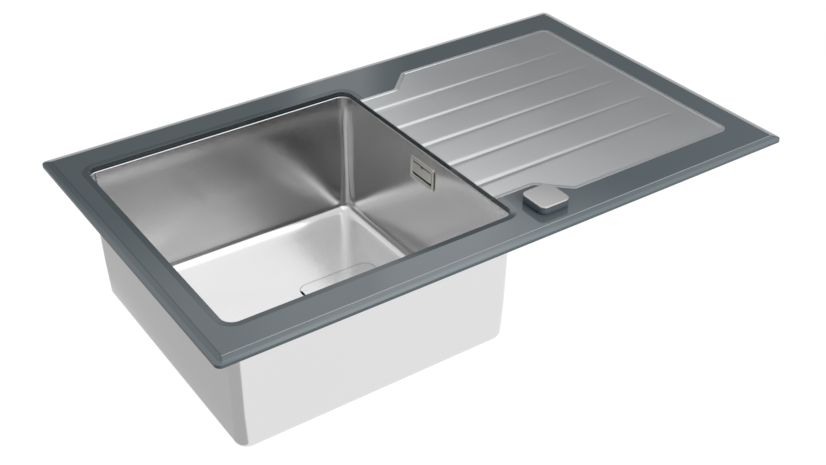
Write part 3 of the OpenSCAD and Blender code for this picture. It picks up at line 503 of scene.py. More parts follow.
# %% [markdown]
# ## The overflow hose
# A corrugated hose is one tube whose radius rises and falls along its length, with a smooth
# cuff at each end. So it is one curve and one rule. The curve is the route: down from the
# overflow, round a quarter turn and along to the waste. The tree resamples it, gives every
# point a radius from a wave of its distance, and sweeps a circle along it.

# %% The hose's route
HOSE_BEND = 45.0
LEAN = math.radians(1.25)


def hose_route():
    """Points from the overflow's spigot to the waste's inlet, in millimetres."""
    x, z, low = 22.66, -49.81, -250.0
    drop = (z - low - HOSE_BEND * (1 - math.sin(LEAN))) / math.cos(LEAN)
    points = [(x - s * math.sin(LEAN), 0, z - s * math.cos(LEAN))
              for s in [0.3 + (drop - 0.3) * i / 24 for i in range(25)]]
    turn_x, _, turn_z = points[-1]
    for i in range(1, 19):
        h = LEAN + (math.pi / 2 - LEAN) * i / 18
        points.append((turn_x - HOSE_BEND * (math.cos(LEAN) - math.cos(h)), 0,
                       turn_z - HOSE_BEND * (math.sin(h) - math.sin(LEAN))))
    last = points[-1]
    return points + [(last[0] + (-65.7 - last[0]) * i / 8, 0, last[2]) for i in range(1, 9)]


def chain(name, points):
    """A mesh of edges through points in millimetres, for a tree to follow."""
    edges = [(i, i + 1) for i in range(len(points) - 1)]
    return new_object(name, new_mesh(name, [[v * MM for v in p] for p in points], edges))


# %% The corrugated tree
ribbed, start, end = new_tree("corrugated hose", Radius=0.012, Depth=0.0022, Cuff=0.024,
                              Ribs=44, Steps=8)
route = add(ribbed, "GeometryNodeMeshToCurve", {0: start["Geometry"]})
plus, minus, times, over, least, most = sums(ribbed)
dense = add(ribbed, "GeometryNodeResampleCurve", {
    "Curve": route, "Count": times(start["Ribs"], start["Steps"])})
along = add(ribbed, "GeometryNodeSplineParameter").outputs["Length"]
whole = add(ribbed, "GeometryNodeSplineLength").outputs["Length"]
ribbing = reckon(ribbed, "GREATER_THAN", least(along, minus(whole, along)), start["Cuff"])
share = over(minus(along, start["Cuff"]), minus(whole, times(start["Cuff"], 2.0)))
wave = reckon(ribbed, "COSINE", times(times(share, start["Ribs"]), 2 * math.pi))
dip = reckon(ribbed, "SMOOTH_MIN", times(minus(1.0, wave), 0.5), 0.8)
radius = minus(start["Radius"], times(times(dip, ribbing), start["Depth"]))
sized = add(ribbed, "GeometryNodeSetCurveRadius", {"Curve": dense, "Radius": radius})
hoop = add(ribbed, "GeometryNodeCurvePrimitiveCircle", {"Resolution": 40, "Radius": 1.0})
tube = sweep(ribbed, sized, hoop)
if "Scale" in tube.inputs:
    ribbed.links.new(radius, tube.inputs["Scale"])
close_tree(ribbed, start, end, tube)

# %% Make the hose
hose = grown(chain("overflow_hose_ribbed.001", hose_route()), ribbed, hose_plastic)
hose.data.shade_smooth()
stand_in(hose, "sink", "overflow_hose")
print("hose box:", [round(v / MM, 1) for v in hose.dimensions])

# %% [markdown]
# ## The control cable
# The knob pulls a thin wire inside a plastic sheath. The sheath leaves the knob's housing,
# dips under the bowl's corner and comes back to the waste, held at both ends. It is stiff,
# so its route is two smooth curves, and a circle swept along them makes the sheath.

# %% Make the cable's sheath
CABLE = [((60.07, -184, -12.8), (60.07, -64, -12.8), (40, 60, -24.5), (40, 60, -94.5)),
         ((40, 60, -94.5), (40, 60, -244.5), (WASTE_X, 143, -268.94), (WASTE_X, 53, -268.94))]


def bend(a, b, c, d, t):
    return tuple((1 - t) ** 3 * a[k] + 3 * t * (1 - t) ** 2 * b[k] + 3 * t * t * (1 - t) * c[k]
                 + t ** 3 * d[k] for k in range(3))


cable_path = [bend(*CABLE[0], i / 22) for i in range(22)]
cable_path += [bend(*CABLE[1], i / 22) for i in range(23)]
swept, start, end = new_tree("round cord", Radius=0.0025, Spacing=0.004)
route = add(swept, "GeometryNodeMeshToCurve", {0: start["Geometry"]})
even = add(swept, "GeometryNodeResampleCurve", {
    "Curve": route, "Length": start["Spacing"]}, mode="LENGTH")
hoop = add(swept, "GeometryNodeCurvePrimitiveCircle", {
    "Resolution": 20, "Radius": start["Radius"]})
close_tree(swept, start, end, sweep(swept, even, hoop))
cable = grown(chain("control_cable_sheath.001", cable_path), swept, sheath)
cable.data.shade_smooth()
stand_in(cable, "sink", "cable_sheath")
cable_path = [tuple(v * MM for v in p) for p in cable_path]

# %% [markdown]
# ## The drainer
# The plate is pressed from thin steel: a border flush with the glass, a soft step down, a
# field that falls towards the bowl and five grooves that run out before the far end. The
# outline is cut first, as the blank is in the factory. Then a tree is the press: it lowers
# each point by the field's fall and by the nearest groove, both from named sizes. A groove's
# walls get gentler as it gets shallower, so its light and dark lines thin out together.

# %% The blank's outline
BORDER, STEP = 5.2, 1.1
NECK, HALF, NECK_END, END = 161.0, 199.0, 70.0, 385.0
PITCH = 60.0


def corner(p, c, n, r, steps=10):
    """Points of an arc of radius r that rounds the corner c between p and n."""
    p, c, n = Vector(p), Vector(c), Vector(n)
    a, b = (p - c).normalized(), (n - c).normalized()
    half = a.angle(b) / 2
    o = c + (a + b).normalized() * (r / math.sin(half))
    v, w = c + a * (r / math.tan(half)) - o, c + b * (r / math.tan(half)) - o
    turn = math.pi - 2 * half
    return [o + (math.sin((1 - k / steps) * turn) * v + math.sin(k / steps * turn) * w)
            / math.sin(turn) for k in range(steps + 1)]


def outline(inset, begin):
    """The plate's outline drawn in by inset, from x = begin, anticlockwise."""
    cutback = inset * (math.sqrt(2) - 1)
    a, b = (begin, NECK - inset), (NECK_END + cutback, NECK - inset)
    c, d = (NECK_END + HALF - NECK + cutback, HALF - inset), (END - inset, HALF - inset)
    e = (END - inset, 0)
    half = [Vector(a)] + corner(a, b, c, 10 + inset) + corner(b, c, d, max(1, 10 - inset))
    half += corner(c, d, e, max(1, 14 - inset))
    return [Vector((p.x, -p.y)) for p in half] + list(reversed(half))


def inside(x, y):
    """How far a point lies inside the outline, ignoring its open side."""
    y = abs(y)
    neck = NECK - y
    diagonal = (x - NECK_END - (y - NECK)) / math.sqrt(2)
    side = max(neck, min(HALF - y, diagonal)) if x > NECK_END else neck
    return min(side, HALF - y, END - x)


# %% Cut the blank
def blank(name, grow, begin, fine=True):
    """A flat sheet of triangles that knows at each point how deep it is pressed, 0 to 1."""
    edges, points, depth = [], [], {}
    insets = [0, 0.25, BORDER - 0.1, BORDER + 0.25, BORDER + 0.55, BORDER + 0.85, BORDER + STEP,
              BORDER + STEP + 0.4] if fine else [0]
    for o in insets:
        loop = outline(o - grow, begin)
        first = len(points)
        points += loop
        t = min(1, max(0, (o - BORDER) / STEP)) if fine else 1
        depth.update({first + i: t * t * (3 - 2 * t) for i in range(len(loop))})
        last = len(loop) - 1 if o > 0 else len(loop)
        edges += [(first + i, first + (i + 1) % len(loop)) for i in range(last)]
    across = sorted({round(g * PITCH + s * o, 2) for g in range(-2, 3) for s in (-1, 1) for o in
                     (0, 0.5, 1, 1.7, 2.6, 3.6, 4.6, 5.4, 6.2, 7.5, 10, 14)}
                    | {float(y) for y in range(-190, 191, 10)})
    for x in [begin + 0.001] + [10 + 6 * i for i in range(1, 63)]:
        for y in across:
            if inside(x, y) > BORDER + STEP + 1.2 or x < begin + 0.1 and abs(y) < NECK - 8:
                depth[len(points)] = 1
                points.append(Vector((x, y)))
    flat, _, tris, origin, _, _ = delaunay_2d_cdt(points, edges, [], 1, 1e-5)
    mesh = new_mesh(name, [(p.x * MM, p.y * MM, GLASS_TOP * MM) for p in flat], [], tris)
    pressed = mesh.attributes.new("pressed", "FLOAT", "POINT")
    for i, p in enumerate(flat):
        pressed.data[i].value = depth[origin[i][0]] if origin[i] else 1.0
    return new_object(name, mesh)


# %% The press, as a tree
press, start, end = new_tree("drainer press", Fall_at_bowl=0.0006, Fall_at_end=0.00014,
                             Bowl_end=0.010, Plate_end=0.385, Groove_end=0.353,
                             Groove_pitch=0.060, Groove_depth=0.0008, Groove_half=0.0056,
                             Grooves=5, Lower=0.0, Thickness=-0.0008)
place = add(press, "ShaderNodeSeparateXYZ", {0: add(press, "GeometryNodeInputPosition")})
x, y = place.outputs[0], place.outputs[1]
plus, minus, times, over, least, most = sums(press)
ran = over(minus(x, start["Bowl end"]), minus(start["Plate end"], start["Bowl end"]))
fall = plus(start["Fall at bowl"], times(ran, minus(start["Fall at end"], start["Fall at bowl"])))
last = over(minus(start["Grooves"], 1.0), 2.0)
nearest = reckon(press, "ROUND", over(y, start["Groove pitch"]))
nearest = most(least(nearest, last), times(last, -1.0))
off = minus(y, times(nearest, start["Groove pitch"]))
to_end = minus(start["Groove end"], x)
left = over(to_end, minus(start["Groove end"], start["Bowl end"]))
deep = times(start["Groove depth"], plus(0.2, times(left, 0.8)))
deep = times(deep, least(over(to_end, 0.007), 1.0))
slope = times(over(start["Groove depth"], start["Groove half"]), plus(0.5, times(left, 0.5)))
round_v = reckon(press, "SQRT", plus(times(off, off), 5e-7))
wall = minus(deep, times(slope, minus(round_v, 7.07e-4)))
soft = reckon(press, "SQRT", plus(times(wall, wall), 1e-8))
groove = times(times(plus(wall, soft), 0.5), reckon(press, "GREATER_THAN", left, 0.0))
pressed = add(press, "GeometryNodeInputNamedAttribute", {"Name": "pressed"}, data_type="FLOAT")
down = times(plus(fall, groove), pressed)
down = times(plus(down, start["Lower"]), -1.0)
moved = add(press, "GeometryNodeSetPosition", {0: start["Geometry"], "Offset": add(
    press, "ShaderNodeCombineXYZ", {2: down})})
thick = add(press, "ShaderNodeCombineXYZ", {2: start["Thickness"]})
back = add(press, "GeometryNodeExtrudeMesh", {0: moved, "Offset": thick,
                                              "Offset Scale": 1.0, "Individual": False})
both = add(press, "GeometryNodeJoinGeometry")
press.links.new(moved.outputs[0], both.inputs[0])
press.links.new(back.outputs[0], both.inputs[0])
close_tree(press, start, end, both)


def tidy(obj, smooth=40):
    """Makes a grown mesh one skin."""
    one_skin(obj.data)
    return shaded(obj, smooth)


# %% Press the plate
drainer = tidy(grown(blank("drainer", 0, 10.6), press, drainer_steel))
stand_in(drainer, "sink", "drainer_plate")

# %% [markdown]
# ## The glass
# One sheet with an upright land, a ground bevel round it, and small polished arrises on every
# edge. The bevel's inner line is sharp and square while the outer corners are round, as a
# straight grinding wheel leaves it. Five rings give the bevel a hair of a crown, so that its
# tone runs from one side to the other instead of being dead flat. The same press tree, made
# thick, cuts the drainer's pocket.

# %% Make the glass
LONG, WIDE, OPENING, ARRIS = 860, 510, 400, 0.3
LAND, BAND_LOW, CROWN = 4.75, 0.4, 0.22    # the land's height, the band's dip, the bevel's crown
BEVEL_HIGH = GLASS_TOP - GLASS_BOTTOM - 4.87
centre = (BOWL_X, 0)
profile = [ring(LONG - 2 * ARRIS, WIDE - 2 * ARRIS, 8, GLASS_BOTTOM),
           ring(LONG, WIDE, 8, GLASS_BOTTOM + ARRIS), ring(LONG, WIDE, 8, GLASS_BOTTOM + 4.3),
           ring(859.4, 509.4, 7.8, GLASS_BOTTOM + LAND)]
for k in (0.2, 0.4, 0.6, 0.8, 1):
    profile.append(ring(859.4 - 21 * k, 509.4 - 21 * k, 7.8 - 6.9 * k, GLASS_BOTTOM + LAND
                        + BEVEL_HIGH * (k + CROWN * k * (1 - k))))
wider = OPENING + 2 * ARRIS
profile += [ring(836, 486, 0.6, GLASS_TOP), ring(417, 417, 24.5, GLASS_TOP, centre),
            ring(wider, wider, 16 + ARRIS, GLASS_TOP - BAND_LOW, centre),
            ring(OPENING, OPENING, 16, GLASS_TOP - BAND_LOW - ARRIS, centre),
            ring(OPENING, OPENING, 16, GLASS_BOTTOM + ARRIS, centre),
            ring(wider, wider, 16 + ARRIS, GLASS_BOTTOM, centre)]
surround = solid("glass", *skin(profile, loop=True), smooth=8)
pocket = tidy(grown(blank("pocket", 0.15, 9.0, fine=False), press, glass, Lower=0.0011,
                    Thickness=0.006))
cut(surround, pocket)
cut(surround, turned("tap_hole", [(17.5, GLASS_BOTTOM - 1), (17.5, GLASS_TOP + 1)], KNOB, False))

# %% Give each face of the glass its finish
paint(surround, glass, glass_edge, glass_bevel, glass_land, near_bevel_painted_highlight, glass_band_painted_shade)
FLAT, EDGE, BEVEL, UPRIGHT, NEAR_PAINTED_HIGHLIGHT, BAND_PAINTED_SHADE = range(6)
work = bmesh.new()
work.from_mesh(surround.data)
for face in work.faces:
    tilt, spot = face.normal.z, face.calc_center_median() / MM
    outer = abs(spot.x) > 425 or abs(spot.y) > 250
    if abs(tilt) < 0.5:
        face.material_index = UPRIGHT if outer else EDGE
    elif outer:
        face.material_index = BEVEL if 0.5 < tilt < 0.999 else FLAT
    # The narrow facet on the near side only gets the lighter finish: a painted highlight
    elif abs(tilt) >= 0.99 and spot.y < -243:
        face.material_index = NEAR_PAINTED_HIGHLIGHT
    # The dipped band round the opening gets the darker finish: painted shade
    elif 0.99 < tilt < 0.9995 and abs(spot.y) < 230:
        face.material_index = BAND_PAINTED_SHADE
    else:
        face.material_index = FLAT
for edge in work.edges:
    wall = all(abs(face.normal.z) < 0.5 for face in edge.link_faces)
    edge.smooth = edge.calc_face_angle(0) < math.radians(30 if wall else 2.4)
work.to_mesh(surround.data)
work.free()
stand_in(surround, "sink", "glass_surround")

# %% [markdown]
# ## The foam seal
# A strip of soft foam runs under the rim and is squeezed a little by the clips, so its edges
# bulge in a half round.

# %% Make the seal
def strip(length, width, radius, wide, low, high):
    """A closed strip along a rounded rectangle, with bulging edges."""
    rings, bulge, middle = [], (high - low) / 2, (low + high) / 2
    for way, rim, corner_r in ((1, 0, radius), (-1, wide, radius / 2)):
        for i in range(9):
            a = way * math.pi * (i / 8 - 0.5)
            d = rim + way * bulge * 0.6 * (1 - math.cos(a))
            rings.append(ring(length - 2 * d, width - 2 * d, corner_r,
                              middle + bulge * math.sin(a)))
    return skin(rings, loop=True)


seal = solid("foam_seal", *strip(850, 500, 8, 8, 0, 2), smooth=50)
stand_in(seal, "sink", "rim_seal", foam)

# %% [markdown]
# ## The bowl
# Drawn from one sheet: a flange, a small bend, walls that lean in, a fillet and a floor that
# falls to the square well of the waste. The rings of the inner face come first. Grown by the
# sheet's thickness they make the outer face, so the wall is as thick as the real one.

# %% The bowl's rings
SHEET, DRAFT = 1.0, math.tan(LEAN)
FLANGE_TOP, LIP = 1.4, 199.5
FLOOR_EDGE, FLOOR_LOW, FILLET, REACH = -189.0, -191.0, 13.0, 16.5
WELL_FLOOR = -200.0


def bowl_side(grow):
    """The rings of the inner face, or of the outer one when grow is the sheet."""
    rings = []
    bend_r = 1.5 - grow * 0.999
    for a in quarter(5):
        half = LIP + 1.5 - bend_r * math.sin(a)
        z = FLANGE_TOP - 1.5 + bend_r * math.cos(a)
        rings.append(ring(2 * half, 2 * half, 15 + half - LIP, z, centre))
    top_z, low_z = FLANGE_TOP - 1.5, FLOOR_EDGE + FILLET
    middle = LIP - DRAFT * (top_z - low_z) - REACH
    for k in (0.25, 0.5, 0.75):
        z = top_z + (low_z - top_z) * k
        half = LIP + grow - DRAFT * (top_z - z)
        rings.append(ring(2 * half, 2 * half, 15 + grow - 2 * k, z, centre))
    for a in quarter(10):
        r = (REACH + grow) * math.cos(a)
        rings.append(ring(2 * (middle + r), 2 * (middle + r), r + 0.4,
                          low_z - (FILLET + grow) * math.sin(a), centre))
    for k in (0.15, 0.4, 0.7, 0.9, 1):
        half = middle + (60.3 - middle) * k
        t = k * 0.5 + 0.5 * k * k
        z = FLOOR_EDGE - grow + (FLOOR_LOW - FLOOR_EDGE) * t * t * (3 - 2 * t)
        rings.append(ring(2 * half, 2 * half, 0.4 + 15.9 * k, z,
                          (BOWL_X + (WASTE_X - BOWL_X) * k, 0)))
    wall = 120.6 + 2 * grow
    rings += [ring(wall, wall, 16.3 + grow, z - grow, WASTE) for z in (FLOOR_LOW - 0.4, WELL_FLOOR)]
    return rings + [ring(88, 88, 44, WELL_FLOOR - grow, WASTE)]


# %% Make the bowl
rings = [ring(426, 426, 29, FLANGE_TOP, centre)] + bowl_side(0)
rings += list(reversed(bowl_side(SHEET))) + [ring(426, 426, 29, FLANGE_TOP - SHEET, centre)]
bowl = solid("bowl_drawn", *skin(rings, loop=True), smooth=35)
wall_x = LIP - 190 - DRAFT * (FLANGE_TOP + 32)
on_wall = Matrix.Translation(Vector((wall_x, 0, -32)) * MM) @ Matrix.Rotation(LEAN, 4, "Y") \
    @ Matrix.Rotation(math.radians(-90), 4, "Z") @ Matrix.Rotation(math.radians(90), 4, "X")
window = solid("overflow_hole", *skin([ring(47.6, 23.6, 2.5, z) for z in (-6, 6)]))
window.data.transform(on_wall)
cut(bowl, window)
stand_in(shaded(bowl), "sink", "bowl", bowl_steel)

# %% [markdown]
# ## The overflow
# A small pressed frame is held in the wall by one screw behind its plate. The plate stands a
# hair below the frame's face and pulls out for cleaning: the dark slots above and below it
# are where the water goes in, and the walls of the mouth behind them are painted black as
# painted shade. The frame's rim stands off the wall by less than a millimetre, which draws a
# thin shadow round it. Both are drawn lying flat, then set on the leaning wall.

# %% Make the overflow's frame and plate
def on_the_wall(obj):
    obj.data.transform(on_wall)
    return obj


rounds = [ring(54.2, 33.2, 4.1, 0), ring(54.2, 33.2, 4.1, 0.9), ring(56, 35, 5, 0.9),
          ring(56, 35, 5, 1.5), ring(55.6, 34.6, 4.8, 1.9), ring(55.1, 34.1, 4.5, 2),
          ring(47.4, 23.4, 3.6, 2), ring(46.9, 22.9, 3.4, 1.9), ring(45.2, 21.2, 2.6, 0.9),
          ring(45, 21, 2.5, 0.7), ring(45, 21, 2.5, -4), ring(47, 23, 2.5, -4),
          ring(47, 23, 2.5, 0)]
frame_face = solid("frame_face", *skin(rounds, loop=True), smooth=35)
bar = plate("bar", 9, 21.4, 0.4, -4, -2.5, 0.1, 0.2)
overflow = joined("overflow_trim", frame_face, bar)
# The second finish, black rubber, is painted shade on the walls of the mouth
paint(overflow, trim_satin, rubber)
for face in overflow.data.polygons:    # the mouth behind the face is painted black as painted shade, using the rubber finish
    spot = face.center / MM
    face.material_index = int(spot.z < 0.85 and abs(spot.x) < 22.6 and abs(spot.y) < 10.7)
stand_in(on_the_wall(overflow), "sink", "overflow_frame")
lid = plate("overflow_plate", 43.4, 15.4, 2, 0.5, 1.8, 0.15, 0.4, (0, 1.3))
cut(lid, turned("notch", [(3.2, -1), (3.2, 3)], (0, 10.2), False))
legs = [plate("leg", 5, 5, 0.5, -3.7, 0.9, 0.1, 0.1, (x, 1.1)) for x in (-19.7, 19.7)]
lid = joined("overflow_lid", lid, *legs)
stand_in(on_the_wall(lid), "overflow_lid", "overflow_cover", trim_satin)

# %% [markdown]
# ## The waste's cover
# A square plate hides the basket. Water runs round it and through a slot in its left side. It
# lies loose on four feet, so it is a piece of its own that lifts out.

# %% Make the cover
cover = plate("cover_plate", 120, 120, 16, -193, -191, 0.25, 0.5, WASTE)
cut(cover, solid("slot", *skin([ring(7, 100, 1.75, z, (WASTE_X - 60, 0)) for z in (-195, -189)])))
feet = [turned("foot", [(2.2, -199.7), (3, -199.2), (3, -193.2), (2.4, -192.9)],
               (WASTE_X + x * 51, y * 51), False) for x in (-1, 1) for y in (-1, 1)]
cover = joined("waste_cover_plate", cover, *feet)
stand_in(cover, "waste_cover", "drain_cover", bowl_steel)

# %% [markdown]
# ## The waste's cup and basket
# Both are spun or drawn round pieces, so both start on the lathe. The basket's slots are the
# same cut made twenty-four times: a tree puts a cutter at each point of a circle, turned to
# face outwards, and takes them all away at once.

# %% Make the cup
cup = turned("waste_cup_drawn", [
    (56, -199), (56, -198.2), (55.6, -197.8), (44.2, -197.8), (42.6, -198.3), (41.7, -199.4),
    (41.5, -201), (41.5, -226.3), (41.1, -227.4), (40.0, -227.8), (24.4, -227.8), (24, -228.2),
    (24, -229), (41.2, -229), (42.3, -228.6), (42.7, -227.5), (42.7, -199.6), (43.4, -199)],
    WASTE, smooth=35)
stand_in(cup, "sink", "waste_cup", trim_steel)

# %% The slotting tree
slotted, start, end = new_tree("slots round a basket", Slots=24, Radius=0.039, Width=0.0026,
                               Height=0.0155, Depth=0.012, Middle=-0.2133, Centre=-0.105)
cutters = turned_outwards(slotted, start, "Slots", ("Depth", "Width", "Height"))
cutters = add(slotted, "GeometryNodeRealizeInstances", {0: cutters})
taken = add(slotted, "GeometryNodeMeshBoolean", {"Mesh 1": start["Geometry"]},
            operation="DIFFERENCE", solver="EXACT")
slotted.links.new(cutters.outputs[0], taken.inputs["Mesh 2"])
close_tree(slotted, start, end, taken)

# %% Make the basket
body_profile = [(4, -225.8), (36.6, -225.8), (37.4, -225.3), (39.2, -202.2), (39.5, -201.4),
                (39.4, -200.8), (39.0, -200.6), (38.6, -200.8), (38.4, -202.2), (36.7, -224.4),
                (36.2, -225), (4, -225)]
basket = turned("basket_shell", body_profile, WASTE, smooth=35)
basket = tidy(grown(basket, slotted, trim_steel), 35)
grip = turned("grip", [(0.2, -225.4), (3.5, -225.4), (3.5, -214), (4, -213.3), (6.2, -213.2),
                       (7, -212.4), (7, -209.4), (6.2, -208.4), (4.5, -208.2), (0.2, -208.2)],
              WASTE, False, 35)
basket = joined("strainer_basket_slotted", basket, grip)
stand_in(basket, "basket", "strainer_basket", trim_steel)

# %% [markdown]
# ## Threads
# A thread is a ridge that climbs round a cylinder, which is just a spiral with a small
# profile swept along it. One tree makes every thread of the sink: the outlet, the cup, the
# knob's sleeve and the clips differ only in radius, pitch and length.

# %% The thread tree
threaded, start, end = new_tree("screw thread", Radius=0.02, Pitch=0.002, Length=0.02,
                                Depth=0.0006, X=0.0, Y=0.0, Foot=0.0)
turns = reckon(threaded, "DIVIDE", start["Length"], start["Pitch"])
helix = add(threaded, "GeometryNodeCurveSpiral", {
    "Resolution": 48, "Rotations": turns, "Start Radius": start["Radius"],
    "End Radius": start["Radius"], "Height": start["Length"]})
ridge = add(threaded, "GeometryNodeCurvePrimitiveCircle", {
    "Resolution": 4, "Radius": start["Depth"]})
foot = add(threaded, "ShaderNodeCombineXYZ", {0: start["X"], 1: start["Y"], 2: start["Foot"]})
placed = add(threaded, "GeometryNodeTransform", {
    0: sweep(threaded, helix, ridge), "Translation": foot})
close_tree(threaded, start, end, placed)


def thread(name, radius, pitch, low, high, at, finish, depth):
    """A thread whose crest is at radius, from low to high, all in millimetres."""
    obj = solid(name, [(0, 0, low)], [])
    obj = grown(obj, threaded, finish, Radius=(radius - depth) * MM, Pitch=pitch * MM,
                Length=(high - low) * MM, Depth=depth * MM, X=at[0] * MM, Y=at[1] * MM,
                Foot=low * MM)
    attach(shaded(obj, 40), "sink")
    print(name, "turns:", round((high - low) / pitch, 1))


# %% [markdown]
# ## The waste below the bowl
# The cup is pulled against the bowl by a ring nut with lugs for a strap wrench, and the
# moulded body under it carries the lever, the hose and the outlet. The lugs sit round a
# circle, so a tree sets them there. The body keeps its CAD shape with its edges softened.

# %% The ring nut
lugged, start, end = new_tree("lugs round a nut", Lugs=8, Radius=0.0525, Long=0.009,
                              Wide=0.008, High=0.0096, Centre=-0.105, Middle=-0.208)
half_step = reckon(lugged, "DIVIDE", math.pi, start["Lugs"])
lugs = turned_outwards(lugged, start, "Lugs", ("Long", "Wide", "High"), half_step)
all_of_it = add(lugged, "GeometryNodeJoinGeometry")
lugged.links.new(start["Geometry"], all_of_it.inputs[0])
lugged.links.new(lugs.outputs[0], all_of_it.inputs[0])
close_tree(lugged, start, end, all_of_it)
nut = turned("ring_nut", [(42.8, -203), (42.8, -213), (52.8, -213), (54, -212), (54, -204),
                          (52.8, -203)], WASTE, smooth=35)
stand_in(rounded(grown(nut, lugged, plastic), 0.5, 35), "sink", "waste_nut")

# %% The body, the housing of the overflow and their threads
SOFT = [("waste_body", 0.5), ("overflow_housing", 0.6), ("cable_gland", 0.4),
        ("knob_housing", 0.5), ("knob_nut", 0.5), ("knob_sleeve", 0.3), ("clip_brackets", 0.3),
        ("clip_screws", 0.3), ("body_screws", 0.3), ("overflow_screw", 0.3), ("lever_pin", 0.2),
        ("waste_gasket", 0.4), ("body_gasket", 0.2), ("cup_gasket", 0.2),
        ("overflow_gasket", 0.3), ("knob_washer", 0.3), ("lift_lever", 0.3, "lever"),
        ("cable_end", 0.1, "wire"), ("lift_pin", 0.3, "basket"), ("plug_seal", 0.4, "basket"),
        ("knob_shaft", 0.2, "knob")]
SOFT += [(n, 0.4, n) for n in frame["nodes"] if n.startswith("claw_")]
for node, size, *body in SOFT:
    stand_in(softened(node, size), body[0] if body else "sink", node, finish_of[node])
thread("outlet_thread", 24.4, 2.3, -314, -289, WASTE, plastic, 0.7)
thread("cup_thread", 43.1, 2.0, -227.5, -214, WASTE, trim_steel, 0.5)
thread("sleeve_thread", 12.35, 1.5, -8.4, 0, KNOB, brass, 0.45)
CLIPS = [(-301, 230), (-81.7, 230), (240.8, 230), (405, 0), (163.395, -195), (317.35, -195)]
for i, spot in enumerate(CLIPS):
    thread("clip_thread_%d" % (i + 1), 2.85, 0.8, -31.5, -8.5, spot, zinc, 0.35)

# %% [markdown]
# ## The knob
# A dark moulded body carries a flat steel cap. The cap's rounded rim catches the light as a
# bright line along its near sides, and the body stands on a narrower foot, so a dark line
# parts it from the glass. A hair of shadow is left between cap and body as well.

# %% Make the knob
foot = [ring(42, 42, 7, z, KNOB) for z in (10.7, 11.9)]
foot += plate_rings(46, 46, 9, 11.9, 18.25, 0.4, 0.3, KNOB)
knob_body = solid("knob_body_moulded", *skin(foot), smooth=40)
cut(knob_body, turned("hollow", [(20.8, 10), (20.8, 12.9)], KNOB, False))
stand_in(knob_body, "knob", "knob_body", slate)
cap = plate("knob_cap_pressed", 46, 46, 9, 18.4, 21.8, 0.3, 1.3, KNOB, 6, smooth=40)
stand_in(cap, "knob", "knob_cap", cap_steel)

# %% [markdown]
# ## The studio
# Steel and glass have hardly any tone of their own: they show what stands round them. So the
# sink stands inside a curved paper wall, whose brightness is set by direction and height, as
# a photographer sets cards and soft boxes. It is dark low down and bright higher up, with a
# soft edge between, and that edge is what draws the forms of the bowl. It is tuned for the
# photograph's side, and brighter than white paper in places. Only gloss sees the wall. The
# camera sees white, and the floor keeps a faint shadow of the sink. One broad lamp from the
# front and an even sky light what isn't glossy.

# %% The curved paper wall
# At an azimuth, in degrees from +X: the tone low and high, the heights where it turns, and
# how much brighter it gets above that
TONES = [(0, 0.5, 1.0, 26, 36, 0.8), (10, 0.4, 1.0, 29, 37, 1.2), (20, 0.35, 1.0, 29, 37, 2.2),
         (28, 0.3, 1.0, 30, 37, 1.6), (38, 0.2, 1.2, 31, 36, 1.4), (45, 0.2, 1.45, 31.5, 36, 0.6),
         (50, 0.2, 1.9, 32.3, 35.3, 0), (57, 0.2, 1.9, 32.5, 35.5, 0), (60, 0.95, 1.5, 30, 38, 0.2),
         (64, 0.95, 1.5, 30, 38, 0), (67, 0.25, 1.5, 31, 39, -0.4), (75, 0.25, 1.2, 31, 41, -0.6),
         (92, 0.2, 0.8, 32, 44, -0.4), (110, 0.1, 1.05, 28, 37, -0.3),
         (118, 0.0, 0.9, 29, 39, 0), (135, 0.0, 0.9, 29, 39, 0),
         (180, 0.3, 1.0, 26, 38, 0), (230, 0.2, 1.25, 26, 38, 0), (245, 0.15, 1.25, 27, 38, 0),
         (280, 1.0, 1.65, 26, 37, 0), (310, 1.0, 1.6, 26, 37, 0), (360, 0.5, 1.0, 26, 36, 0.8)]


def ease(value, start, stop):
    t = min(1, max(0, (value - start) / (stop - start)))
    return t * t * (3 - 2 * t)


def tone(azimuth, height):
    """The wall's brightness in a direction; 1 is white paper."""
    for a, b in zip(TONES, TONES[1:]):
        if a[0] <= azimuth <= b[0]:
            t = ease(azimuth, a[0], b[0])
            low, high, start, stop, top = [(1 - t) * p + t * q for p, q in zip(a[1:], b[1:])]
    horizon = 1.3 + (low - 1.3) * ease(height, 6, 14)
    return horizon + (high - low) * ease(height, start, stop) + top * ease(height, 48, 59)


WALL, STEP_AZ, LOWEST = 2.6, 2, -4    # the radius in metres, then degrees
verts, faces, tones = [], [], []
columns, rows = 360 // STEP_AZ, 82
for i in range(columns + 1):
    for j in range(rows):
        a, up = math.radians(i * STEP_AZ), math.radians(j + LOWEST)
        across = WALL * math.cos(up)
        verts.append((across * math.cos(a), across * math.sin(a), WALL * math.sin(up)))
        tones.append(tone(i * STEP_AZ, j + LOWEST))
for i in range(columns):
    faces += [(i * rows + j, (i + 1) * rows + j, (i + 1) * rows + j + 1, i * rows + j + 1)
              for j in range(rows - 1)]
mesh = new_mesh("paper_wall", verts, [], faces)
brightness = mesh.attributes.new("brightness", "FLOAT", "POINT")
brightness.data.foreach_set("value", tones)
paper_wall = new_object("paper_wall", mesh)


# %% Glowing paper that only gloss sees
def glowing(name, strength):
    """Paper that gives off light of a strength, a number or a vertex attribute's name."""
    made = bpy.data.materials.new(name)
    made.use_nodes = True
    tree = made.node_tree
    tree.nodes.remove(tree.nodes["Principled BSDF"])
    if isinstance(strength, str):
        strength = add(tree, "ShaderNodeAttribute", attribute_name=strength).outputs["Fac"]
    light = add(tree, "ShaderNodeEmission", {"Strength": strength})
    tree.links.new(light.outputs[0], tree.nodes["Material Output"].inputs["Surface"])
    return made


def gloss_only(obj):
    """Keeps a stage piece out of everything but reflections."""
    obj.visible_camera = obj.visible_diffuse = obj.visible_shadow = False
    obj.visible_transmission = False


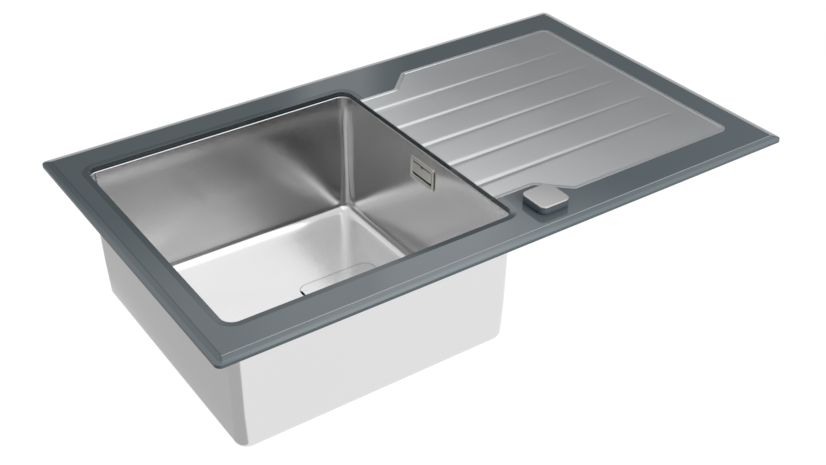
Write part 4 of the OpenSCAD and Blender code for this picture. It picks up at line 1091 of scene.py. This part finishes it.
paint(paper_wall, glowing("white studio paper by direction", "brightness"))
gloss_only(paper_wall)
print("paper wall faces:", len(faces))

# %% Floor
def seen_directly(tree):
    """1 for a ray from the camera, or from gloss or glass, and 0 for one that lights."""
    path = add(tree, "ShaderNodeLightPath").outputs
    seen = reckon(tree, "MAXIMUM", path["Is Camera Ray"], path["Is Glossy Ray"])
    return reckon(tree, "MAXIMUM", seen, path["Is Transmission Ray"])


FAR, FLOOR_Z = 6000, -336
floor = solid("floor", [(-FAR, -FAR, FLOOR_Z), (FAR, -FAR, FLOOR_Z), (FAR, FAR, FLOOR_Z),
                        (-FAR, FAR, FLOOR_Z)], [(0, 1, 2, 3)])
white, tree, shader = material("matt white studio floor", Base_Color=linear("#F2F2F2"),
                               Roughness=0.9)
glow = add(tree, "ShaderNodeEmission", {"Color": (1, 1, 1, 1), "Strength": 1.03})
seen = reckon(tree, "MULTIPLY", seen_directly(tree), 0.95)
mix = add(tree, "ShaderNodeMixShader", {0: seen, 1: shader, 2: glow})
tree.links.new(mix.outputs[0], tree.nodes["Material Output"].inputs["Surface"])
paint(floor, white)
# A grey card beside the sink, for the bowl's left outside to mirror
card = solid("grey_card", [(-2.62, -0.6, -0.33), (-0.42, -0.6, -0.33), (-0.42, 2.4, -0.33),
                           (-2.62, 2.4, -0.33)], [(0, 1, 2, 3)], scale=1)
paint(card, glowing("grey card on the floor", 0.53))
gloss_only(card)

# %% World and lamp
world = bpy.data.worlds.new("studio")
scene.world = world
world.use_nodes = True
tree = world.node_tree
strength = add(tree, "ShaderNodeMapRange", {0: seen_directly(tree), 3: 0.62, 4: 1.0}).outputs[0]
tree.nodes["Background"].inputs["Color"].default_value = (1, 1, 1, 1)
tree.links.new(strength, tree.nodes["Background"].inputs["Strength"])


def lamp(name, size, at, aim, power):
    data = bpy.data.lights.new(name, "AREA")
    data.shape, data.size, data.size_y, data.energy = "RECTANGLE", size[0], size[1], power
    obj = new_object(name, data)
    obj.location = at
    obj.rotation_euler = (Vector(aim) - Vector(at)).to_track_quat("-Z", "Y").to_euler()
    obj.visible_camera = obj.visible_glossy = False


lamp("soft_lamp_front", (1.6, 1.0), (0.4, -2.1, 1.15), (0, 0, -0.1), 45)
scene.view_settings.view_transform = "Standard"
